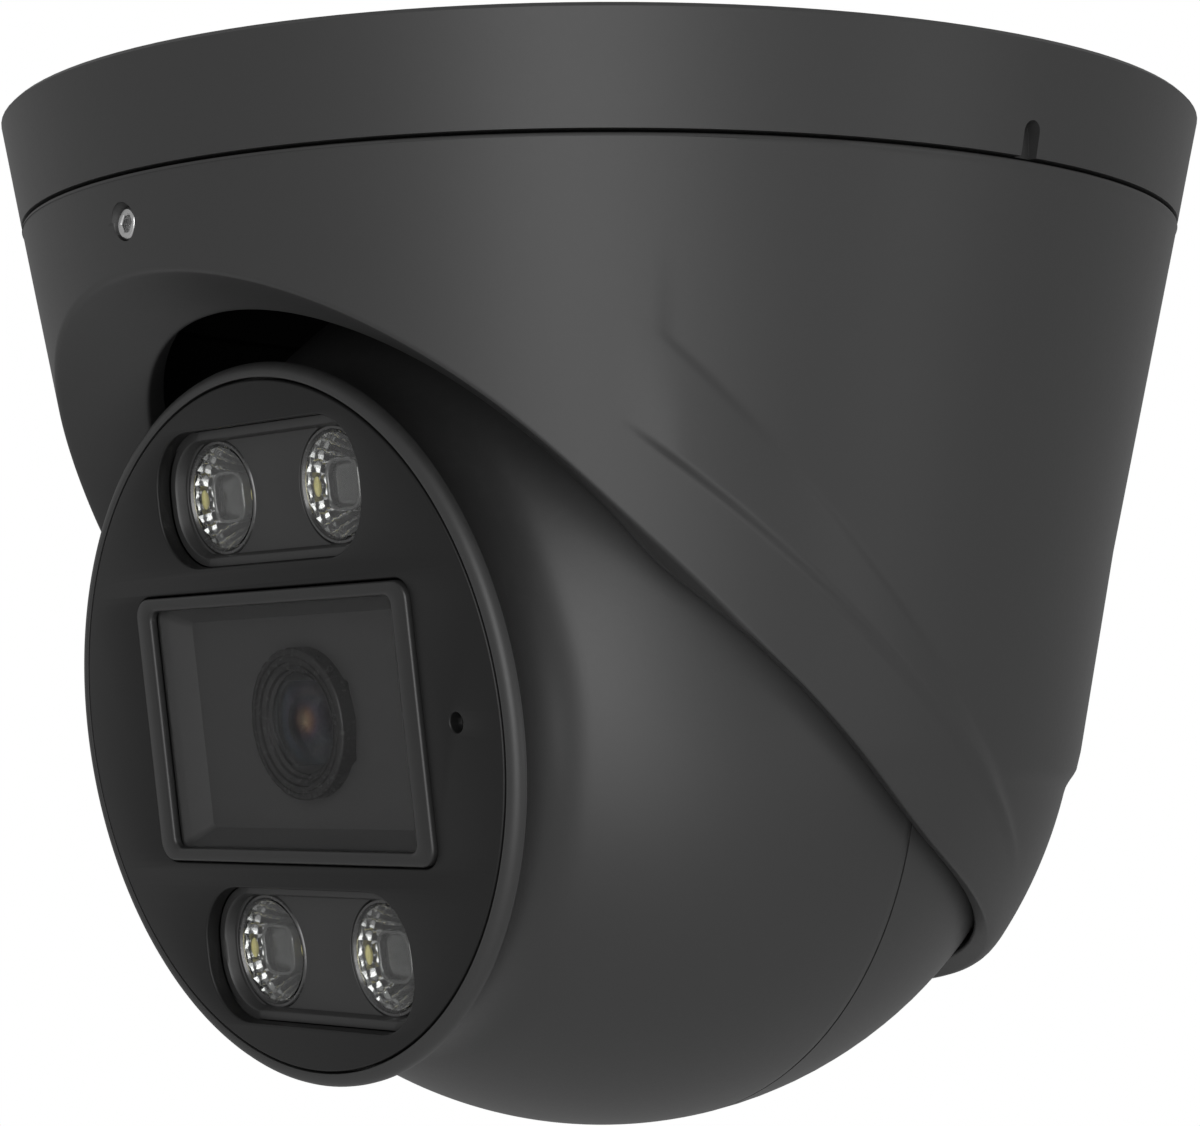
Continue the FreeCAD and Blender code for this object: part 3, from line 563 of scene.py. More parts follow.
def dust_group() -> bpy.types.NodeTree:
    """Settled dust: a mask that grows where the surface faces up and is broken by noise."""
    tree, graph, given, result = new_group(
        "settled_dust", [("Amount", FLOAT, 0.03), ("Speck Scale", FLOAT, 900.0)], [("Mask", FLOAT)])
    facing = graph.node("ShaderNodeSeparateXYZ",
                        {0: graph.node("ShaderNodeNewGeometry").outputs["Normal"]}).outputs[2]
    place = graph.node("ShaderNodeTexCoord").outputs["Object"]
    specks = graph.node("ShaderNodeTexNoise", {"Vector": place, "Scale": given.outputs["Speck Scale"],
                                               "Detail": 3.0}).outputs["Fac"]
    level = graph.math("MULTIPLY", graph.band(facing, -0.2, 1.0), graph.band(specks, 0.45, 0.75))
    tree.links.new(graph.math("MULTIPLY", level, given.outputs["Amount"]), result.inputs["Mask"])
    return tree


def rings_group() -> bpy.types.NodeTree:
    """Concentric rings round the lens axis, as a gloss that swings with the radius."""
    tree, graph, given, result = new_group(
        "turning_marks", [("Radius", FLOAT, 0.0), ("Pitch", FLOAT, 9000.0), ("Roughness", FLOAT, 0.3)],
        [("Roughness", FLOAT)])
    wave = graph.math("SINE", graph.math("MULTIPLY", given.outputs["Radius"], given.outputs["Pitch"]))
    tree.links.new(graph.math("ADD", given.outputs["Roughness"], graph.math("MULTIPLY", wave, 0.05)),
                   result.inputs["Roughness"])
    return tree


@dataclass(frozen=True)
class Plastic:
    """A moulded plastic or rubber."""

    colour: Colour
    roughness: float
    grain: float = 3000.0
    depth: float = 0.00001
    mottle: float = 0.08
    spread: float = 0.06
    specular: float = 0.5
    dust: float = 0.02


@dataclass(frozen=True)
class Glass:
    """A clear solid. A thin pane passes light straight through and keeps only its surface gloss."""

    tint: Colour
    roughness: float
    ior: float = 1.5
    smear: float = 0.02
    alpha: float = 1.0


@dataclass(frozen=True)
class Metal:
    """A bare or anodised metal."""

    colour: Colour
    roughness: float
    metallic: float = 1.0
    marks: float = 1500.0
    depth: float = 0.000004
    stretch: Colour = (1.0, 1.0, 1.0, 1.0)


@dataclass(frozen=True)
class Board:
    """A printed circuit board: lacquer over copper tracks."""

    lacquer: Colour
    track: Colour
    roughness: float = 0.35


@dataclass(frozen=True)
class Coating:
    """A coated lens surface, whose colour changes from the middle outwards."""

    stops: tuple[tuple[float, Colour], ...]
    roughness: float


FINISHES: dict[Look, object] = {
    Look.HOUSING: Plastic(grey(0.026), 0.46, 2600.0, 0.000012, 0.05, 0.05, 0.5, 0.012),
    Look.SHELL: Plastic(grey(0.026), 0.44, 2600.0, 0.000012, 0.05, 0.05, 0.5, 0.012),
    Look.FACE: Plastic(grey(0.007), 0.4, 3800.0, 0.000006, 0.05, 0.05, 0.3, 0.0),
    Look.BEZEL: Plastic(grey(0.014), 0.34, 3800.0, 0.000006, 0.05, 0.05, 0.5, 0.0),
    Look.INSERT: Plastic(grey(0.022), 0.42, 3200.0, 0.00001, 0.05, 0.05, 0.5, 0.0),
    # Painted light: the hood's grey is far lighter than the face's plastic and stands in for light falling on it
    # through the pane.
    Look.PAINTED_LIGHT_HOOD: Plastic(grey(0.11), 0.5, 2600.0, 0.00001, 0.05, 0.05, 0.5, 0.0),
    Look.RUBBER: Plastic(grey(0.02), 0.72, 1800.0, 0.00002, 0.12, 0.1, 0.35, 0.03),
    Look.GLASS: Glass((0.93, 0.95, 0.95, 1.0), 0.02, 1.46, alpha=0.03),
    Look.OPTIC_COVER: Glass((0.97, 0.98, 0.97, 1.0), 0.03, 1.45),
    Look.LENS_GLASS: Glass((0.75, 0.78, 0.8, 1.0), 0.0, 1.5),
    Look.TINTED: Glass((0.35, 0.7, 0.75, 1.0), 0.02, 1.5),
    Look.OPTIC_MIRROR: Metal(grey(0.38), 0.08, 1.0, 2500.0, 0.000003),
    Look.OPTIC_CORE: Plastic(grey(0.05), 0.08, 3000.0, 0.000001, 0.05, 0.02, 0.8, 0.0),
    # The phosphor's colour. The painted glints, which stand in for its reflections in the optic walls, share it.
    Look.PHOSPHOR: Plastic((0.86, 0.78, 0.32, 1.0), 0.5, 6000.0, 0.00001, 0.1, 0.05, 0.5, 0.0),
    Look.SENSOR: Glass((0.3, 0.32, 0.4, 1.0), 0.03, 1.5),
    Look.ALUMINIUM: Metal(grey(0.62), 0.38, 1.0, 1200.0, 0.00001, (1.0, 8.0, 1.0, 1.0)),
    Look.ANODISED: Metal(grey(0.1), 0.24, 0.6, 2200.0, 0.000001),
    Look.STAINLESS: Metal(grey(0.72), 0.24, 1.0, 2600.0, 0.000004),
    Look.LAMINATE: Board((0.012, 0.09, 0.035, 1.0), (0.03, 0.16, 0.05, 1.0)),
    Look.COATING: Coating(((0.0, (0.95, 0.7, 0.42, 1.0)), (0.28, (0.55, 0.3, 0.18, 1.0)),
                           (0.55, (0.16, 0.1, 0.17, 1.0)), (0.8, (0.05, 0.1, 0.14, 1.0)),
                           (1.0, (0.015, 0.02, 0.024, 1.0))), 0.12),
}

SLOT_LOOKS: dict[str, Look] = {
    "housing_plastic": Look.HOUSING, "shell_plastic": Look.SHELL, "face_plastic": Look.FACE,
    "insert_plastic": Look.INSERT, "clear_glass": Look.GLASS, "tinted_glass": Look.TINTED,
    "clear_optic": Look.OPTIC_COVER, "light_die": Look.PHOSPHOR, "seal_rubber": Look.RUBBER,
    "board_laminate": Look.LAMINATE, "sensor_glass": Look.SENSOR, "heat_aluminium": Look.ALUMINIUM,
    "lens_metal": Look.ANODISED, "stainless": Look.STAINLESS,
}


class Palette:
    """Builds each finish once, and gives it to the pieces that ask for it."""

    def __init__(self) -> None:
        """Makes the groups that finishes share."""
        self.skin = moulded_group()
        self.dust = dust_group()
        self.rings = rings_group()
        self.made: dict[Look, bpy.types.Material] = {}

    def material(self, look: Look) -> bpy.types.Material:
        """The material of a finish."""
        if look not in self.made:
            finish = FINISHES[look]
            material = bpy.data.materials.new(look.value + "_finish")
            material.use_nodes = True
            material.node_tree.nodes.clear()
            graph = Graph(material.node_tree)
            shader = graph.node("ShaderNodeBsdfPrincipled")
            graph.node("ShaderNodeOutputMaterial", {"Surface": shader.outputs[0]})
            makers: dict[type, Callable] = {Plastic: self.plastic, Glass: self.glass, Metal: self.metal,
                                            Board: self.board, Coating: self.coating}
            makers[type(finish)](graph, shader, finish)
            self.made[look] = material
        return self.made[look]

    def plastic(self, graph: Graph, shader: bpy.types.Node, finish: Plastic) -> None:
        """Moulded skin, with a trace of dust over it."""
        skin = graph.node("ShaderNodeGroup", node_tree=self.skin)
        values = {"Colour": finish.colour, "Roughness": finish.roughness, "Grain Scale": finish.grain,
                  "Mottle": finish.mottle, "Gloss Spread": finish.spread}
        for name, value in values.items():
            skin.inputs[name].default_value = value
        colour = skin.outputs["Colour"]
        if finish.dust > 0.0:
            dust = graph.node("ShaderNodeGroup", node_tree=self.dust)
            dust.inputs["Amount"].default_value = finish.dust
            mixed = graph.node("ShaderNodeMix", {"Factor": dust.outputs["Mask"], 6: colour, 7: grey(0.5)},
                               data_type="RGBA")
            colour = mixed.outputs[2]
        bump = graph.node("ShaderNodeBump", {"Strength": 0.5, "Distance": finish.depth,
                                             "Height": skin.outputs["Height"]})
        links = graph.tree.links
        links.new(colour, shader.inputs["Base Color"])
        links.new(skin.outputs["Roughness"], shader.inputs["Roughness"])
        links.new(bump.outputs[0], shader.inputs["Normal"])
        shader.inputs["Specular IOR Level"].default_value = finish.specular

    def glass(self, graph: Graph, shader: bpy.types.Node, finish: Glass) -> None:
        """Clear material with a faint smear in its gloss. A pane lets most of the light straight through."""
        place = graph.node("ShaderNodeTexCoord").outputs["Object"]
        smear = graph.node("ShaderNodeTexNoise",
                           {"Vector": place, "Scale": 120.0, "Detail": 4.0}).outputs["Fac"]
        rough = graph.math("ADD", graph.math("MULTIPLY", graph.band(smear, 0.5, 0.8), finish.smear),
                           finish.roughness)
        graph.tree.links.new(rough, shader.inputs["Roughness"])
        shader.inputs["Base Color"].default_value = finish.tint
        shader.inputs["IOR"].default_value = finish.ior
        if finish.alpha < 1.0:
            edge = graph.node("ShaderNodeLayerWeight", {"Blend": 0.25}).outputs["Fresnel"]
            graph.tree.links.new(graph.band(edge, 0.1, 1.0, finish.alpha, 0.6), shader.inputs["Alpha"])
            shader.inputs["Base Color"].default_value = grey(0.02)
        else:
            shader.inputs["Transmission Weight"].default_value = 1.0

    def metal(self, graph: Graph, shader: bpy.types.Node, finish: Metal) -> None:
        """Bare metal with fine tool marks in its gloss and height."""
        place = graph.node("ShaderNodeTexCoord").outputs["Object"]
        stretched = graph.node("ShaderNodeMapping", {"Vector": place, "Scale": finish.stretch[:3]}).outputs[0]
        marks = graph.node("ShaderNodeTexNoise", {"Vector": stretched, "Scale": finish.marks,
                                                  "Detail": 3.0}).outputs["Fac"]
        rough = graph.band(marks, 0.2, 0.8, finish.roughness * 0.75, finish.roughness * 1.25)
        tone = graph.node("ShaderNodeMix", {"Factor": marks, 6: finish.colour,
                                            7: tuple(0.85 * part for part in finish.colour[:3]) + (1.0,)},
                          data_type="RGBA").outputs[2]
        bump = graph.node("ShaderNodeBump", {"Strength": 0.4, "Distance": finish.depth, "Height": marks})
        graph.tree.links.new(tone, shader.inputs["Base Color"])
        graph.tree.links.new(rough, shader.inputs["Roughness"])
        graph.tree.links.new(bump.outputs[0], shader.inputs["Normal"])
        shader.inputs["Metallic"].default_value = finish.metallic

    def board(self, graph: Graph, shader: bpy.types.Node, finish: Board) -> None:
        """Lacquered laminate, whose tracks show as a brick pattern a little lighter and higher."""
        place = graph.node("ShaderNodeTexCoord").outputs["Object"]
        tracks = graph.node("ShaderNodeTexBrick", {"Vector": place, "Scale": 420.0, "Mortar Size": 0.03,
                                                   "Color1": finish.lacquer, "Color2": finish.lacquer,
                                                   "Mortar": finish.track})
        bump = graph.node("ShaderNodeBump",
                          {"Strength": 0.6, "Distance": 0.00003, "Height": tracks.outputs["Fac"]})
        graph.tree.links.new(tracks.outputs["Color"], shader.inputs["Base Color"])
        graph.tree.links.new(bump.outputs[0], shader.inputs["Normal"])
        shader.inputs["Roughness"].default_value = finish.roughness

    def coating(self, graph: Graph, shader: bpy.types.Node, finish: Coating) -> None:
        """A mirror-like coating, whose colour follows the stored distance from the lens axis."""
        radius = graph.node("ShaderNodeAttribute", attribute_name="from_axis").outputs["Fac"]
        ramp = graph.node("ShaderNodeValToRGB", {"Fac": radius})
        stops = ramp.color_ramp.elements
        stops[0].position, stops[0].color = finish.stops[0]
        stops[1].position, stops[1].color = finish.stops[-1]
        for position, colour in finish.stops[1:-1]:
            stops.new(position).color = colour
        marks = graph.node("ShaderNodeGroup", node_tree=self.rings)
        marks.inputs["Roughness"].default_value = finish.roughness
        marks.inputs["Pitch"].default_value = 60.0
        graph.tree.links.new(radius, marks.inputs["Radius"])
        graph.tree.links.new(ramp.outputs["Color"], shader.inputs["Base Color"])
        graph.tree.links.new(marks.outputs["Roughness"], shader.inputs["Roughness"])
        shader.inputs["Metallic"].default_value = 0.9


# ----------------------------------------------------------------------------------- base and seals
@dataclass
class Base:
    """What is screwed to the ceiling: the base ring, its gasket, its seal and the cable grommet."""

    make: Maker
    edge: float = 0.25
    rubber_edge: float = 0.35

    def build(self) -> None:
        """Softens the edges of the base ring and of its rubber parts."""
        for node, name, look, width in (("base_ring", "ring_body", Look.HOUSING, self.edge),
                                        ("ceiling_gasket", "gasket_foam", Look.RUBBER, self.rubber_edge),
                                        ("cable_grommet", "grommet_body", Look.RUBBER, self.rubber_edge)):
            rounded_copy(self.make, node, name, look, "base", width)


def rounded_copy(make: Maker, node: str, name: str, look: Look, body: str, width: float) -> None:
    """Makes a CAD node's surface again as a smooth piece with soft edges.

    Args:
        make: the maker.
        node: the CAD node.
        name: the new piece's name.
        look: its finish.
        body: the CAD body.
        width: size of the rounding, in millimetres.
    """
    points, faces = cad_mesh(node)
    piece = make.finish(name, points, faces, look, body, replaces=(node,), slot=slot_of(node), crease=28.0)
    soften(piece, width)


def slot_of(node: str) -> str:
    """The record's material slot that a CAD node is in."""
    return next(part["material_slot"] for part in frame["record"]["subparts"] if part["node"] == node)


# ------------------------------------------------------------------------------------------ housing
@dataclass
class Housing:
    """The turret housing: a tapering drum that closes round the ball, cut open by a dished scoop."""

    make: Maker
    top: float = -10.65
    cone_radius: float = 60.127
    taper: float = 0.2079
    wall: float = 2.5
    shoulder: float = -65.0
    shoulder_start: float = -62.6
    collar: float = 47.55
    seat: float = 45.05
    plane_level: float = 13.0
    plane_lean: float = 2.0
    rear_level: float = 16.5
    rear_lean: float = 20.8
    fall: float = 0.5
    fall_start: float = 47.0
    dish_rise: float = 24.4
    dish_radius: float = 31.4
    dish_level: float = 9.5
    dish_slope: float = 0.44
    dish_curve: float = 0.0165
    loop_rise: float = 8.0
    lip: float = 2.4
    rows_out: int = 120
    rows_cut: int = 26
    rows_in: int = 14
    band_height: float = 0.5
    swell: float = 0.7
    screw_drop: float = -14.8
    screw_bore: float = 1.62
    search: tuple[float, float, int] = (15.0, 75.0, 40)
    band_from: tuple[float, float] = (50.0, 57.0)
    band_until: tuple[float, float] = (96.0, 116.0)
    panel_depth: float = 0.14
    panel_from: tuple[float, float] = (53.8, 55.6)
    panel_until: tuple[float, float] = (24.0, 38.0)
    rear_from: tuple[float, float] = (88.0, 122.0)
    axes: Axes = field(default_factory=lambda: axes_below_horizon(45.0))

    def outer_radius(self, z: Array) -> Array:
        """Radius of the outside at each height: the cone, a short rounding, then the ball-shaped collar."""
        drop = -z
        cone = self.cone_radius - self.taper * drop
        depth = np.clip(self.collar ** 2 - (z - BALL_CENTRE[2]) ** 2, 0.0, None)
        globe = np.sqrt(depth)
        start = self.cone_radius + self.taper * self.shoulder_start
        end = math.sqrt(self.collar ** 2 - (self.shoulder - BALL_CENTRE[2]) ** 2)
        share = np.clip((self.shoulder_start - z) / (self.shoulder_start - self.shoulder), 0.0, 1.0)
        control = self.cone_radius + self.taper * (self.shoulder_start - 1.6)
        rounding = (1 - share) ** 2 * start + 2 * share * (1 - share) * control + share ** 2 * end
        return np.where(z > self.shoulder_start, cone, np.where(z > self.shoulder, rounding, globe))

    def cut_level(self, across: Array, up: Array) -> Array:
        """Level of the cut surface.

        It is the lowest of a shallow dish and of two leaning planes, and next to the ball the planes slope
        inward.
        """
        reach = np.maximum(np.hypot(across, up - self.dish_rise) - self.dish_radius, 0.0)
        dish = self.dish_level + self.dish_slope * reach + self.dish_curve * reach ** 2
        plane = self.plane_level + up * math.tan(math.radians(self.plane_lean))
        rear = self.rear_level + up * math.tan(math.radians(self.rear_lean))
        slope = self.fall * np.clip(self.fall_start - np.hypot(across, up), 0.0, 4.0)
        return soft_min(dish, soft_min(plane, rear, 1.2) - slope, 0.45)

    def crossing(self, turn: Array, beyond: Callable[[Array, Array], Array]) -> Array:
        """Distance from the middle of the loop at which a test turns true, found by halving the stretch."""
        nearest, farthest, halvings = self.search
        near = np.full_like(turn, nearest)
        far = np.full_like(turn, farthest)
        for _ in range(halvings):
            middle = (near + far) / 2.0
            outside = beyond(middle * np.sin(turn), middle * np.cos(turn) + self.loop_rise)
            far = np.where(outside, middle, far)
            near = np.where(outside, near, middle)
        return near

    def edge_inside(self, turn: Array) -> tuple[Array, Array]:
        """The edge of the hole round the ball: the outer one of the dish's and the collar's edge."""
        offset = self.dish_rise - self.loop_rise
        along = offset * np.cos(turn)
        dish = along + np.sqrt(self.dish_radius ** 2 - offset ** 2 + along ** 2)

        def past_seat(across: Array, up: Array) -> Array:
            """Tells where the cut surface lies outside the seat of the ball."""
            return across ** 2 + up ** 2 + self.cut_level(across, up) ** 2 > self.seat ** 2

        distance = soft_max(dish, self.crossing(turn, past_seat), 0.35)
        return distance * np.sin(turn), distance * np.cos(turn) + self.loop_rise

    def edge_outside(self, turn: Array) -> tuple[Array, Array]:
        """The outer edge of the cut."""

        def past_wall(across: Array, up: Array) -> Array:
            """Tells where the cut surface lies outside the housing."""
            point = self.on_cut(across, up)
            return np.hypot(point[:, 0], point[:, 1]) > self.outer_radius(point[:, 2])

        distance = self.crossing(turn, past_wall)
        return distance * np.sin(turn), distance * np.cos(turn) + self.loop_rise

    def on_cut(self, across: Array, up: Array) -> Array:
        """Points of the cut surface, in the model's axes."""
        return self.axes.place(np.stack((across, up, self.cut_level(across, up)), -1))

    def relief(self, azimuth: Array, z: Array) -> Array:
        """How far the outside stands proud or back.

        A band runs down each flank from the front to the rear. It swells towards its lower edge, and above it
        a shallow panel starts at an upright step. The rear swells a little towards the shoulder.
        """
        side = np.abs(azimuth)
        level = z - BALL_CENTRE[2]
        ahead = self.outer_radius(z) * np.cos(side)
        high = -2.3 + 0.94 * ahead
        low = -5.5 + 0.78 * ahead
        width = np.maximum(high - low, 0.6)
        share = np.clip((high - level) / width, 0.0, 1.0)
        below = 1.0 - smooth_step(low - level, 0.0, 0.9)
        fade_in = smooth_step(np.degrees(side), *self.band_from)
        fade_out = 1.0 - smooth_step(np.degrees(side), *self.band_until)
        band = self.band_height * share * below * fade_in * fade_out
        panel = smooth_step(level - high, -0.4, 0.6) * (1.0 - smooth_step(level, *self.panel_until))
        panel = -self.panel_depth * panel * smooth_step(np.degrees(side), *self.panel_from) * fade_out
        rear = smooth_step(np.degrees(side), *self.rear_from) * np.clip((-43.0 - z) / 21.5, 0.0, 1.0)
        return band + panel + self.swell * rear * (1.0 - smooth_step(-z, 64.4, 66.4))

    def build(self) -> None:
        """Lays rows of points down the outside, over the cut and back up the inside, and joins them."""
        turn = clustered(400, [(math.radians(a), math.radians(9.0), 24) for a in (52.0, 308.0)])
        out_s, out_b = self.edge_outside(turn)
        in_s, in_b = self.edge_inside(turn)
        rim = self.on_cut(out_s, out_b)
        azimuth = np.arctan2(rim[:, 0], -rim[:, 1])
        behind = smooth_step(-out_b, -8.0, 36.0)
        outer_round = 0.45 + 1.6 * behind

        heights = np.linspace(0.0, 1.0, self.rows_out) ** 0.96
        z = self.top + heights[:, None] * (rim[None, :, 2] + outer_round * 0.95 - self.top)
        radius = self.outer_radius(z)
        radius = radius + self.relief(azimuth[None, :], z) * smooth_step(z, rim[None, :, 2] + 0.4,
                                                                         rim[None, :, 2] + 4.0)
        outside = np.stack((radius * np.sin(azimuth), -radius * np.cos(azimuth), z), -1)
        rounding = 0.35
        lead = outside[:1].copy()
        top_out = lead.copy()
        shrink = (radius[0] - rounding) / radius[0]
        top_out[..., 0] *= shrink
        top_out[..., 1] *= shrink
        outside[0, :, 2] -= rounding
        corner_top = bend(top_out[0], lead[0], outside[0], 2)

        span = np.hypot(in_s - out_s, in_b - out_b)
        start = np.clip(outer_round / span, 0.0, 0.3)
        end = 1.0 - np.clip(0.3 / span, 0.0, 0.3)
        steps = np.linspace(0.0, 1.0, self.rows_cut)[:, None]
        share = start + steps * (end - start)
        cut = self.on_cut(out_s + share * (in_s - out_s), out_b + share * (in_b - out_b))
        corner_out = bend(outside[-1], rim, cut[0], 5)

        brink = self.on_cut(in_s, in_b)
        inward = -self.axes.out
        lip_start = brink + inward * 0.3
        corner_in = bend(cut[-1], brink, lip_start, 2)
        lip_end = brink + inward * self.lip
        top_radius = radius[0] - self.wall
        top_in = np.stack((top_radius * np.sin(azimuth), -top_radius * np.cos(azimuth),
                           np.full_like(azimuth, self.top)), -1)
        up_steps = np.linspace(0.0, 1.0, self.rows_in)[:, None, None]
        inside = lip_end + up_steps * (top_in - lip_end)
        from_ball = inside - BALL_CENTRE
        distance = np.linalg.norm(from_ball, axis=-1, keepdims=True)
        inside = BALL_CENTRE + from_ball / distance * np.maximum(distance, self.seat)
        inside[-1] = top_in
        rows = np.concatenate((
            top_out, np.array(corner_top), outside, np.array(corner_out), cut, np.array(corner_in),
            lip_start[None], inside))
        vertices, faces = grid_faces(rows)
        piece = self.make.finish("housing_skin", vertices, faces, Look.HOUSING, "turret",
                                 replaces=("turret_housing",), slot="housing_plastic", crease=50.0)
        self.bore(piece)

    def bore(self, piece: bpy.types.Object) -> None:
        """Drills the hole of the set screw through the front wall, with a small countersink."""
        face = -(self.cone_radius + self.taper * self.screw_drop)
        loop = circle(1.0, 48)
        rows = []
        for reach, along in ((self.screw_bore + 0.25, -1.0), (self.screw_bore + 0.25, -0.02),
                             (self.screw_bore, 0.2), (self.screw_bore, 4.5)):
            rows.append(np.column_stack((loop[:, 0] * reach, np.full(len(loop), face + along),
                                         self.screw_drop + loop[:, 1] * reach)))
        vertices, faces = grid_faces(np.array(rows), wrap_rows=False)
        last = len(loop) * (len(rows) - 1)
        caps = np.array([list(range(len(loop)))[::-1], list(range(last, last + len(loop)))])
        mesh = bpy.data.meshes.new("screw_drill")
        polygons = faces.tolist() + caps.tolist()
        mesh.from_pydata((vertices * MM).tolist(), [], polygons)
        drill = bpy.data.objects.new("screw_drill", mesh)
        bpy.context.scene.collection.objects.link(drill)
        sheet = bmesh.new()
        sheet.from_mesh(mesh)
        bmesh.ops.recalc_face_normals(sheet, faces=sheet.faces)
        sheet.to_mesh(mesh)
        sheet.free()
        cut = piece.modifiers.new("screw_hole", "BOOLEAN")
        cut.operation = "DIFFERENCE"
        cut.solver = "EXACT"
        cut.object = drill
        bpy.context.view_layer.update()
        result = bpy.data.meshes.new_from_object(piece.evaluated_get(bpy.context.evaluated_depsgraph_get()))
        piece.modifiers.clear()
        piece.data = result
        result.shade_smooth()
        result.set_sharp_from_angle(angle=math.radians(50.0))
        bpy.data.objects.remove(drill)


@dataclass
class SetScrew:
    """The grub screw at the front of the housing, with its six-sided socket."""

    make: Maker
    radius: float = 1.5
    face: float = 56.75
    back: float = 54.25
    tip: float = 53.2
    tip_radius: float = 0.75
    drop: float = -14.8
    socket: float = 0.86
    socket_depth: float = 1.3
    chamfer: float = 0.22

    def build(self) -> None:
        """Carries the screw's outline round its axis. In the socket each row is a hexagon."""
        turn = full_turn(72)
        hexagon = math.cos(math.pi / 6) / np.cos(np.mod(turn, math.pi / 3) - math.pi / 6)
        f, r, s = self.face, self.radius, self.socket
        outline = [(0.02, f - self.socket_depth, 1), (s, f - self.socket_depth, 1), (s, f - 0.12, 1),
                   (s + 0.1, f, 0.6), (r - self.chamfer, f, 0), (r, f - self.chamfer, 0)]
        for level in np.arange(f - 0.5, self.back + 0.1, -0.25):
            outline += [(r, level, 0), (r - 0.14, level - 0.12, 0)]
        outline += [(r - 0.2, self.back, 0), (self.tip_radius, self.back - 0.2, 0),
                    (self.tip_radius, self.tip + 0.1, 0), (self.tip_radius - 0.1, self.tip, 0),
                    (0.02, self.tip, 0)]
        rows = []
        for radius, level, six in outline:
            reach = radius * (1.0 + six * (hexagon - 1.0))
            rows.append(np.column_stack((reach * np.cos(turn), np.full(len(turn), -level),
                                         self.drop + reach * np.sin(turn))))
        self.make.grid("grub_screw", np.array(rows), Look.STAINLESS, "set_screw", replaces=("set_screw",),
                       crease=25.0)


# --------------------------------------------------------------------------------------------- ball
@dataclass
class Ball:
    """The two shells of the head, with the ring round the face."""

    make: Maker
    radius: float = 44.68
    inner: float = 42.48
    seam: float = 1.2
    rim: float = 33.9
    rim_back: float = 38.7
    face: float = 40.0
    chamfer: float = 1.05
    seat: float = 32.55
    seat_level: float = 38.4
    bore: float = 30.3
    neck: float = 6.0
    seam_round: float = 0.3
    columns: int = 360

    def build(self) -> None:
        """Makes the front shell from its outline, and softens the rear shell."""
        arc_reach = self.radius + self.neck
        rim_reach = math.hypot(self.rim, self.rim_back)
        spread = math.acos((arc_reach ** 2 + rim_reach ** 2 - self.neck ** 2) / (2 * arc_reach * rim_reach))
        meet = math.atan2(self.rim, self.rim_back) + spread
        neck_x, neck_y = arc_reach * math.sin(meet), arc_reach * math.cos(meet)
        low = math.degrees(math.asin((self.seam + self.seam_round) / self.radius))
        high = 90.0 - math.degrees(meet)
        start = math.degrees(math.atan2(-neck_y, -neck_x)) % 360.0
        finish = math.degrees(math.atan2(self.rim_back - neck_y, self.rim - neck_x)) % 360.0
        in_low = math.degrees(math.asin(self.seam / self.inner))
        in_high = math.degrees(math.acos(self.bore / self.inner))
        edge = math.cos(math.radians(low)) * self.radius
        outline = [(edge - self.seam_round, self.seam), (edge - 0.08, self.seam + 0.08)]
        outline += arc(0, 0, self.radius, low, high, 44)
        outline += arc(neck_x, neck_y, self.neck, start, finish, 16)[1:]
        outline += [(self.rim, self.rim_back + 0.12)]
        outline += arc(self.rim - self.chamfer, self.face - self.chamfer, self.chamfer, 0, 90, 6)
        outline += [(self.seat + 0.15, self.face), (self.seat, self.face - 0.12),
                    (self.seat, self.seat_level),
                    (self.bore, self.seat_level)]
        outline += arc(0, 0, self.inner, in_high, in_low, 24)
        turn = full_turn(self.columns)
        self.make.grid("ball_front", turned(np.array(outline), HEAD, turn), Look.SHELL, "head",
                       replaces=("front_shell",), slot="shell_plastic", crease=40.0)
        rounded_copy(self.make, "rear_shell", "ball_back", Look.SHELL, "head", self.seam_round)


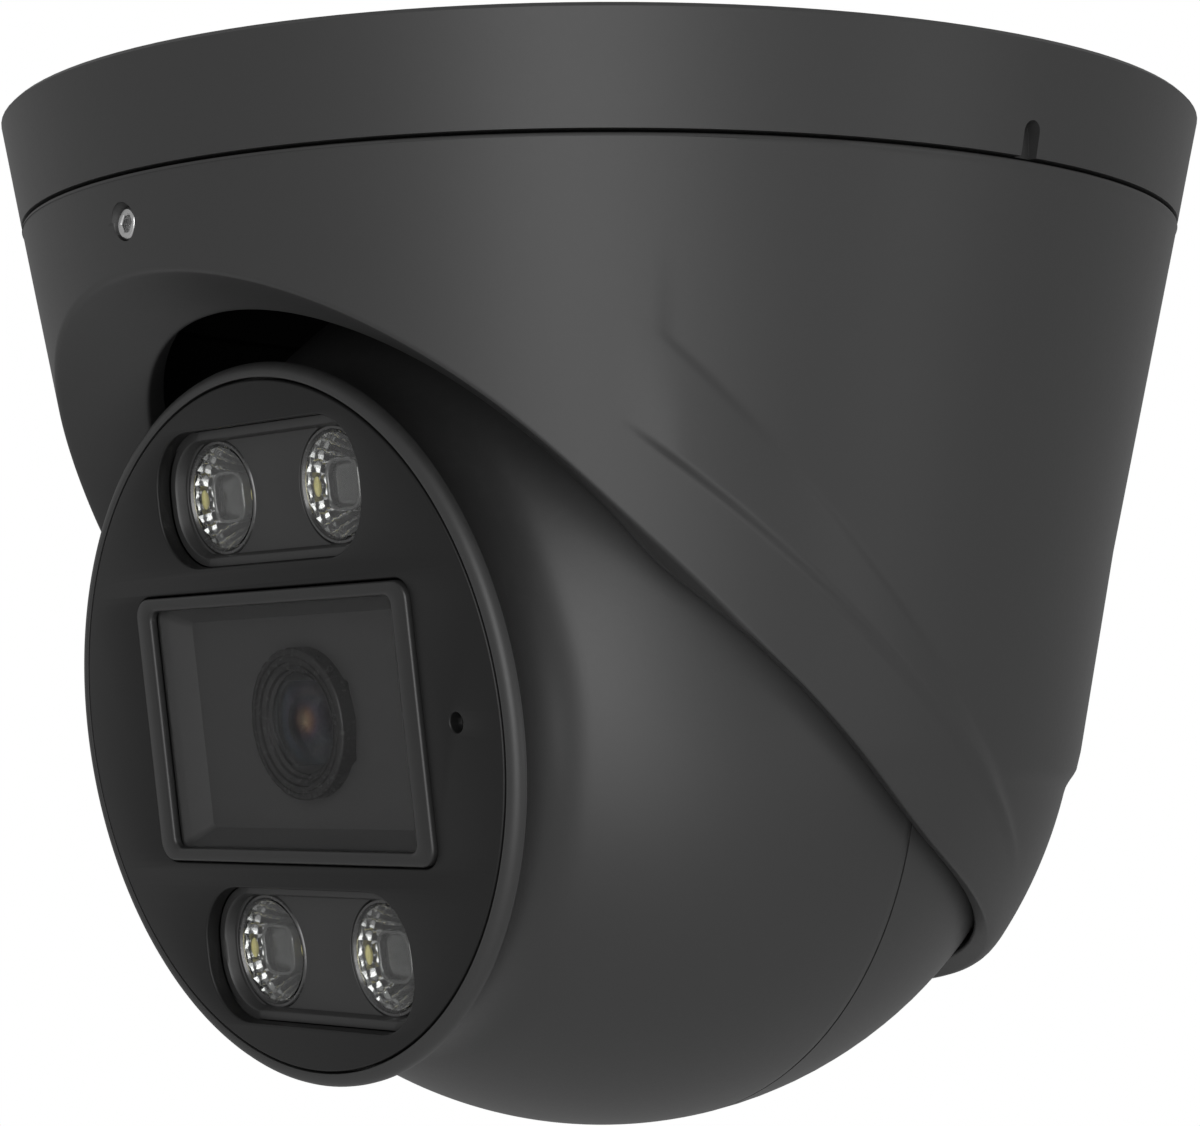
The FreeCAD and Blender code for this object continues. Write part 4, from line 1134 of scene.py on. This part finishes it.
# --------------------------------------------------------------------------------------------- face
@dataclass
class Face:
    """The dark disc at the front of the head, the framed window in it and the hood behind the glass."""

    make: Maker
    radius: float = 32.35
    front: float = 40.0
    back: float = 38.4
    pocket_width: float = 32.2
    pocket_height: float = 13.0
    pocket_corner: float = 5.8
    pocket_rise: float = 21.8
    window_width: float = 43.0
    window_height: float = 25.6
    window_corner: float = 1.9
    window_rise: float = 0.45
    side: float = 2.4
    top: float = 1.3
    glass_front: float = 39.7
    glass_wall: float = 0.4
    hood_floor: float = 36.6
    hood_back: float = 34.3
    rebate: float = 0.6
    mic: float = 26.2
    mic_hole: float = 0.9
    hood_border: float = 2.0
    lens_gap: float = 7.35

    def build(self) -> None:
        """Makes the disc, the frame, the pane and the hood."""
        loops = [circle(self.radius - 0.02, 240)]
        for side in (1, -1):
            pocket = superloop(self.pocket_width, self.pocket_height, self.pocket_corner, 14)
            loops.append(pocket + np.array([0.0, side * self.pocket_rise]))
        loops.append(superloop(self.window_width + 0.3, self.window_height + 0.3, self.window_corner + 0.15,
                               10))
        loops.append(circle(self.mic_hole, 32, self.mic, 0.0))
        points, faces = plate_with_holes(loops, self.back, self.front, 0.22, HEAD)
        self.make.finish("face_disc", points, faces, Look.FACE, "head", replaces=("faceplate",),
                         slot="face_plastic", crease=50.0)
        self.frame()
        self.pane()
        self.hood()

    def blend_loops(self, name: str, stations: Sequence[tuple[Array, float]], look: Look, **options) -> None:
        """Joins loops of equal count, each at its own level, into a closed surface."""
        rows = [HEAD.place(np.column_stack((loop, np.full(len(loop), level)))) for loop, level in stations]
        self.make.grid(name, np.array(rows), look, "head", **options)

    def frame(self) -> None:
        """The raised frame: a rounded top between an outer wall and an inner slope down to the glass."""

        def outer(inset: float) -> Array:
            """The frame's outline, some way in."""
            return superloop(self.window_width - 2 * inset, self.window_height - 2 * inset,
                             self.window_corner - inset * 0.5, 10)

        def inner(grow: float) -> Array:
            """The frame's opening, made larger."""
            return superloop(self.window_width - 2 * self.side + 2 * grow,
                             self.window_height - 2 * self.top + 2 * grow, 1.0 + grow * 0.5, 10)

        crest = self.front + self.window_rise
        back = self.back - 1.2
        stations = [(outer(0.0), back), (outer(0.0), crest - 0.3), (outer(0.09), crest - 0.09),
                    (outer(0.3), crest), (inner(0.42), crest), (inner(0.16), crest - 0.08),
                    (inner(0.03), crest - 0.28), (inner(0.0), self.glass_front),
                    (inner(self.rebate), self.glass_front), (inner(self.rebate), back)]
        self.blend_loops("window_bezel", stations, Look.BEZEL, replaces=("window_frame",),
                         slot="face_plastic",
                         crease=50.0)

    def pane(self) -> None:
        """The window's glass, with a fine chamfer."""
        width = self.window_width - 2 * self.side + 2 * self.rebate - 0.05
        height = self.window_height - 2 * self.top + 2 * self.rebate - 0.05
        low = self.glass_front - self.glass_wall

        def loop(inset: float) -> Array:
            """The pane's outline, some way in."""
            return superloop(width - 2 * inset, height - 2 * inset, 1.0, 8)

        front = self.glass_front - 0.02
        middle = superloop(0.02, 0.02, 0.005, 8)
        stations = [(middle, low), (loop(0.1), low), (loop(0.0), low + 0.1), (loop(0.0), front - 0.1),
                    (loop(0.1), front), (middle, front)]
        self.blend_loops("window_pane", stations, Look.GLASS, replaces=("window_glass",), slot="clear_glass",
                         crease=30.0)

    def hood(self) -> None:
        """The hood: a sloped border down to a flat floor, with a round hole for the lens."""
        width = self.window_width - 2 * self.side + 2 * self.rebate - 0.1
        height = self.window_height - 2 * self.top + 2 * self.rebate - 0.1
        front = self.glass_front - self.glass_wall - 0.05
        floor, back = self.hood_floor, self.hood_back
        inner_width, inner_height = width - 2 * self.hood_border, height - 2 * self.hood_border
        edge = superloop(inner_width, inner_height, 0.7, 10)
        angles = np.arctan2(edge[:, 1], edge[:, 0])

        def hole(radius: float) -> Array:
            """The lens hole's edge, with a point for each point of the border."""
            return np.column_stack((radius * np.cos(angles), radius * np.sin(angles)))

        outer = superloop(width, height, 1.0, 10)
        stations = [(outer, back), (outer, front - 0.15),
                    (superloop(width - 0.3, height - 0.3, 0.9, 10), front),
                    (superloop(width - 1.0, height - 1.0, 0.8, 10), front),
                    (superloop(inner_width + 0.25, inner_height + 0.25, 0.75, 10), floor + 0.15),
                    (edge, floor)]
        stations += [(edge * (1 - t) + hole(self.lens_gap + 0.5) * t, floor) for t in (0.2, 0.4, 0.6, 0.8,
                                                                                       1.0)]
        stations += [(hole(self.lens_gap + 0.1), floor - 0.1), (hole(self.lens_gap), floor - 0.4),
                     (hole(self.lens_gap), back)]
        # the hood's pale finish is painted light, standing in for light that reaches it through the pane
        self.blend_loops("hood_frame", stations, Look.PAINTED_LIGHT_HOOD, replaces=("lens_hood",), slot="face_plastic",
                         crease=40.0)


# ------------------------------------------------------------------------------------------- lights
@dataclass
class Lights:
    """The four spotlights: in each pocket a floor with two optics, each over its own emitter."""

    make: Maker
    width: float = 32.2
    height: float = 13.0
    corner: float = 5.8
    rise: float = 21.8
    pitch: float = 18.3
    floor: float = 37.4
    radius: float = 5.5
    depth: float = 5.0
    foot: float = 2.6
    wall_top: float = 38.38
    facets: int = 20
    # Painted reflections of the phosphor in each optic's wall: offset across, level, width and height of each
    # ellipsoid.
    painted_glints: tuple[tuple[float, float, float, float], ...] = (
        (-4.1, 36.2, 0.36, 0.95), (-2.95, 35.6, 0.4, 1.05), (4.1, 36.2, 0.36, 0.95), (2.95, 35.6, 0.4, 1.05))

    def build(self) -> None:
        """Makes both pockets and all four optics."""
        turn = full_turn(120)
        rims, mirrors, cores, dies_and_glints, covers = [], [], [], [], []
        for name, side in (("upper", 1), ("lower", -1)):
            self.pocket(name, side)
            for place in (-1, 1):
                x, y = place * self.pitch / 2.0, side * self.rise
                rims.append(grid_faces(turned(self.rim_outline(), HEAD, turn, x, y)))
                mirrors.append(grid_faces(self.mirror(turn, x, y)))
                cores.append(grid_faces(self.core(x, y)))
                dies_and_glints.append(grid_faces(self.die(x, y)))
                # the painted glints go with the dies: solid ellipsoids in the phosphor's colour that stand in for
                # its reflections
                for offset, level, width, height in self.painted_glints:
                    dies_and_glints.append(grid_faces(self.painted_glint(x, y, offset, level, width, height)))
                covers.append(grid_faces(turned(self.cover_outline(), HEAD, turn, x, y)))
        everything = (
            ("optic_rims", rims, Look.ANODISED, "clear_optic", ("light_optics",)),
            ("optic_mirrors", mirrors, Look.OPTIC_MIRROR, "clear_optic", ()),
            ("optic_cores", cores, Look.OPTIC_CORE, "clear_optic", ()),
            ("optic_covers", covers, Look.OPTIC_COVER, "clear_optic", ()),
            # the dies and the painted glints, the phosphor's painted reflections, as one piece
            ("light_dies_and_painted_glints", dies_and_glints, Look.PHOSPHOR, "light_die", ("light_emitters",)),
        )
        for name, parts, look, slot, replaced in everything:
            points, faces = joined(parts)
            self.make.finish(name, points, faces, look, "head", replaces=replaced, slot=slot, crease=22.0)

    def pocket(self, name: str, side: int) -> None:
        """The pocket's floor with two holes, and the wall that stands round it."""
        outline = superloop(self.width - 0.1, self.height - 0.1, self.corner, 12)
        holes = [circle(self.radius + 0.08, 96, place * self.pitch / 2.0) for place in (-1, 1)]
        shift = np.array([0.0, side * self.rise])
        floor = plate_with_holes([loop + shift for loop in (outline, *holes)], self.floor - 3.4, self.floor,
                                 0.12, HEAD)
        wall = grid_faces(swept_rectangle(
            [(0.05, self.floor - 0.4), (0.05, self.wall_top), (0.75, self.wall_top),
             (0.95, self.wall_top - 0.2),
             (1.05, self.floor + 0.1), (1.2, self.floor - 0.1), (1.2, self.floor - 0.4)],
            self.width, self.height, self.corner, HEAD, 0.0, side * self.rise, 12))
        points, faces = joined([floor, wall])
        self.make.finish("pocket_floor_" + name, points, faces, Look.INSERT, "head",
                         replaces=("light_holder_" + name,), slot="insert_plastic", crease=45.0)

    def rim_outline(self) -> Array:
        """The optic's dark chamfered collar."""
        r, f = self.radius, self.floor
        return np.array([(r, f - 1.2), (r, f - 0.15), (r - 0.12, f - 0.02), (r - 0.35, f - 0.02),
                         (r - 0.6, f - 0.4), (r - 0.6, f - 1.2)])

    def mirror(self, turn: Array, x: float, y: float) -> Array:
        """The reflecting cone: facets run down it, and steps run round it."""
        r, f = self.radius - 0.62, self.floor - 0.45
        levels = np.linspace(0.0, 1.0, 26)
        wave = np.abs(np.sin(turn * self.facets / 2.0))
        rows = []
        for t in levels:
            radius = r + (self.foot - 0.4 - r) * t ** 0.9
            step = 0.1 * (1 - abs(2 * ((t * 6.0) % 1.0) - 1))
            reach = radius - step + 0.32 * (1 - t) * wave
            rows.append(np.column_stack((x + reach * np.cos(turn), y + reach * np.sin(turn),
                                         np.full(len(turn), f - t * (self.depth - 0.6)))))
        wall = 0.3
        for t in levels[::-1]:
            radius = r + wall + 0.1 + (self.foot - 0.4 - r) * t ** 0.9
            rows.append(np.column_stack((x + radius * np.cos(turn), y + radius * np.sin(turn),
                                         np.full(len(turn), f - 0.15 - t * (self.depth - 0.6)))))
        return HEAD.place(np.array(rows))

    def squares(self, stations: Sequence[tuple[float, float]], corner: float, x: float, y: float) -> Array:
        """Rounded squares one above the other, each given by its size and level.

        Args:
            stations: size and level of each square.
            corner: corner radius as a share of the size.
            x: place of the middle to the right.
            y: place of the middle upwards.

        Returns:
            Points as (row, column, 3).
        """
        rows = []
        for size, level in stations:
            loop = superloop(size, size, size * corner, 8) + np.array([x, y])
            rows.append(np.column_stack((loop, np.full(len(loop), level))))
        return HEAD.place(np.array(rows))

    def core(self, x: float, y: float) -> Array:
        """The collimator at the optic's middle: a rounded square post with a raised rim and a domed top."""
        f = self.floor - 0.9
        stations = [(4.6, f - 3.3), (4.9, f - 0.5), (4.9, f - 0.08), (4.75, f), (4.3, f), (4.15, f - 0.1),
                    (4.1, f - 0.55), (3.2, f - 0.35), (1.8, f - 0.22), (0.02, f - 0.18)]
        return self.squares(stations, 0.3, x, y)

    def die(self, x: float, y: float) -> Array:
        """The emitter: a square chip with a domed phosphor, low in the optic."""
        f = self.floor - self.depth
        stations = [(0.02, f), (2.4, f), (2.4, f + 0.35), (2.0, f + 0.55), (1.2, f + 0.68), (0.02, f + 0.7)]
        return self.squares(stations, 0.25, x, y)

    def painted_glint(self, x: float, y: float, offset: float, level: float, width: float, height: float) -> Array:
        """A painted reflection of the phosphor in the optic's wall: a small upright ellipsoid in the phosphor's
        colour.
        """
        turn = full_turn(24)
        rise = np.radians(np.linspace(-89.5, 89.5, 12))[:, None]
        points = np.stack((x + offset + width * np.cos(rise) * np.cos(turn),
                           y + height * np.cos(rise) * np.sin(turn),
                           level + width * np.sin(rise) + 0.0 * turn), -1)
        return HEAD.place(points)

    def cover_outline(self) -> Array:
        """The optic's clear front: a thin disc, very slightly domed."""
        r, f = self.radius - 0.66, self.floor - 0.06
        return np.array([(0.02, f - 0.3), (r, f - 0.3), (r, f - 0.12), (r * 0.7, f - 0.03), (r * 0.35, f),
                         (0.02, f)])


# --------------------------------------------------------------------------------------------- lens
@dataclass
class Lens:
    """The lens: a stepped barrel, a domed front element and coated surfaces behind it."""

    make: Maker
    front: float = 38.2
    radius: float = 7.2
    collar: float = 6.0
    thread: float = 6.0
    length: float = 17.0
    glass: float = 4.75
    columns: int = 144

    def build(self) -> None:
        """Makes the barrel, the dome and the coated elements."""
        turn = full_turn(self.columns)
        f, r = self.front, self.radius
        outline = [(5.0, f - self.length), (self.thread, f - self.length + 0.2),
                   (self.thread, f - self.collar - 0.2),
                   (r - 0.1, f - self.collar), (r, f - self.collar + 0.2), (r, f - 0.3)]
        outline += arc(r - 0.25, f - 0.25, 0.25, 0, 90, 4)
        outline += [(r - 0.62, f), (r - 0.68, f - 0.14), (r - 0.86, f - 0.14), (r - 0.92, f - 0.02),
                    (r - 1.3, f - 0.05),
                    (r - 1.38, f - 0.3), (r - 1.6, f - 0.32), (r - 1.66, f - 0.16), (r - 2.0, f - 0.3),
                    (r - 2.1, f - 0.62), (self.glass + 0.22, f - 0.66), (self.glass + 0.05, f - 0.8),
                    (self.glass + 0.05, f - 2.2), (self.glass - 0.5, f - 2.3), (3.9, f - 3.2),
                    (3.9, f - self.length + 1)]
        self.make.grid("lens_tube", turned(np.array(outline), HEAD, turn), Look.ANODISED, "head",
                       replaces=("lens_barrel",), slot="lens_metal", crease=28.0)
        self.make.grid("lens_dome", turned(self.dome(f - 0.75, 0.95, 1.1, self.glass), HEAD, turn),
                       Look.LENS_GLASS,
                       "head", replaces=("front_element",), slot="clear_glass", crease=40.0)
        for name, size, level, sag in (("coated_second", 4.2, f - 2.35, 0.35),
                                       ("coated_third", 2.5, f - 2.15, 0.55)):
            piece = self.make.grid(name, turned(self.dome(level, sag, 0.3, size), HEAD, turn), Look.COATING,
                                   "head",
                                   slot="clear_glass", crease=40.0)
            self.mark_radius(piece, size)

    def dome(self, edge: float, sag: float, wall: float, radius: float) -> Array:
        """An element's outline: a domed front whose middle stands sag above its edge, and a flat back."""
        share = np.linspace(1.0, 0.004, 16)
        front = [(radius * t, edge + sag * (1.0 - t * t)) for t in share]
        back = [(0.004 * radius, edge - wall), (radius, edge - wall)]
        return np.array(back + front)

    def mark_radius(self, piece: bpy.types.Object, radius: float) -> None:
        """Stores each vertex's distance from a line a little off the lens axis, as a share."""
        mesh = piece.data
        flat = np.zeros(len(mesh.vertices) * 3, np.float64)
        mesh.vertices.foreach_get("co", flat)
        offset = flat.reshape(-1, 3) / MM - HEAD.origin
        across = np.hypot(offset @ HEAD.right - 0.1 * radius, offset @ HEAD.up - 0.1 * radius)
        layer = mesh.attributes.new("from_axis", "FLOAT", "POINT")
        layer.data.foreach_set("value", (across / (1.1 * radius)).astype(np.float32))


# ------------------------------------------------------------------------------- carried-over parts
@dataclass
class Workings:
    """The pieces that keep their CAD shape: the bracket, the seals, the screws, the filter and the boards."""

    make: Maker
    edge: float = 0.15

    def build(self) -> None:
        """Softens the bracket, which shows beside the ball, and dresses every node that is still shown."""
        rounded_copy(self.make, "tilt_bracket", "bracket_strap", Look.STAINLESS, "tilt_bracket", self.edge)
        for name, node in frame["nodes"].items():
            if node.hide_render:
                continue
            slot = slot_of(name)
            node.data.materials.clear()
            node.data.materials.append(self.make.palette.material(SLOT_LOOKS.get(slot, Look.SHELL)))
            LOG.info("%s dressed as %s", name, slot)


# ------------------------------------------------------------------------------------------- studio
@dataclass
class Studio:
    """The floor, the backdrop of light, the lamps and the camera."""

    floor_level: float = -0.26
    floor_radius: float = 1.25
    eye: tuple[float, float, float] = (0.2518, -0.2189, -0.0649)
    heading: float = 49.0
    rise: float = 3.69
    roll: float = -0.26
    focal: float = 99.2
    sensor: float = 36.0
    ambient: float = 0.42
    shift: float = -0.00092

    def build(self) -> None:
        """Sets up everything that isn't part of the camera itself."""
        self.floor()
        self.world()
        self.lamps()
        self.viewpoint()

    def floor(self) -> None:
        """A round, plain pale floor."""
        loop = circle(self.floor_radius, 96)
        rows = np.array([np.column_stack((loop * t,
                                          np.full(len(loop), self.floor_level))) for t in (0.001, 0.3, 1.0)])
        points, faces = grid_faces(rows, wrap_rows=False)
        mesh = bpy.data.meshes.new("studio_floor")
        mesh.from_pydata(points.tolist(), [], faces.tolist())
        floor = bpy.data.objects.new("studio_floor", mesh)
        bpy.context.scene.collection.objects.link(floor)
        material = bpy.data.materials.new("floor_paint")
        material.use_nodes = True
        shader = material.node_tree.nodes["Principled BSDF"]
        shader.inputs["Base Color"].default_value = grey(0.85)
        shader.inputs["Roughness"].default_value = 0.8
        mesh.materials.append(material)

    def world(self) -> None:
        """A surrounding that looks white to the viewpoint and lights the object less than that."""
        world = bpy.data.worlds.new("white_room")
        world.use_nodes = True
        back = world.node_tree.nodes["Background"]
        graph = Graph(world.node_tree)
        seen = graph.node("ShaderNodeLightPath").outputs["Is Camera Ray"]
        strength = graph.band(seen, 0.0, 1.0, self.ambient, 1.0)
        back.inputs["Color"].default_value = grey(1.0)
        world.node_tree.links.new(strength, back.inputs["Strength"])
        bpy.context.scene.world = world
        bpy.context.scene.view_settings.view_transform = "Standard"

    def lamp(self, name: str, place: tuple[float, float, float], aim: tuple[float, float, float],
             width: float,
             height: float, power: float) -> None:
        """A soft rectangular lamp.

        Args:
            name: the lamp's name.
            place: where it stands, in metres.
            aim: the point that it faces.
            width: its width.
            height: its height.
            power: its power in watts.
        """
        light = bpy.data.lights.new(name, "AREA")
        light.shape = "RECTANGLE"
        light.size, light.size_y = width, height
        light.energy = power
        holder = bpy.data.objects.new(name, light)
        holder.location = place
        holder.rotation_euler = (Vector(aim) - Vector(place)).to_track_quat("-Z", "Y").to_euler()
        bpy.context.scene.collection.objects.link(holder)

    def lamps(self) -> None:
        """A broad key behind the viewpoint, a fill from the right and a small lamp from below."""
        centre = (0.0, 0.0, -0.05)
        self.lamp("key_softbox", (0.66, -0.68, 0.1), centre, 0.55, 0.7, 4.0)
        self.lamp("fill_softbox", (0.95, 0.35, -0.25), centre, 0.3, 0.5, 1.0)
        self.lamp("under_strip", (0.25, -0.2, -0.22), centre, 0.25, 0.25, 0.25)

    def viewpoint(self) -> None:
        """The camera, turned to its heading, its rise and its small roll."""
        turn, tilt = math.radians(self.heading), math.radians(self.rise)
        ahead = Vector((-math.sin(turn) * math.cos(tilt), math.cos(turn) * math.cos(tilt), math.sin(tilt)))
        right = ahead.cross(Vector((0, 0, 1))).normalized()
        up = right.cross(ahead)
        basis = Matrix((right, up, -ahead)).transposed()
        lens = bpy.data.cameras.new("view")
        lens.lens, lens.sensor_width, lens.sensor_fit = self.focal, self.sensor, "HORIZONTAL"
        lens.clip_start = 0.01
        lens.shift_x = self.shift
        holder = bpy.data.objects.new("view", lens)
        holder.matrix_world = (Matrix.Translation(self.eye) @ basis.to_4x4()
                               @ Matrix.Rotation(math.radians(self.roll), 4, "Z"))
        bpy.context.scene.collection.objects.link(holder)
        bpy.context.scene.camera = holder


def main() -> None:
    """Builds the camera's pieces in order, then the studio."""
    logging.basicConfig(level=logging.INFO, format="%(name)s: %(message)s")
    make = Maker(Palette())
    for assembly in (Base(make), Housing(make), SetScrew(make), Ball(make), Face(make), Lights(make),
                     Lens(make),
                     Workings(make)):
        LOG.info("building %s", type(assembly).__name__)
        assembly.build()
    Studio().build()
    bpy.context.view_layer.update()
    LOG.info("%d new pieces", make.count)


if __name__ == "__main__":
    main()
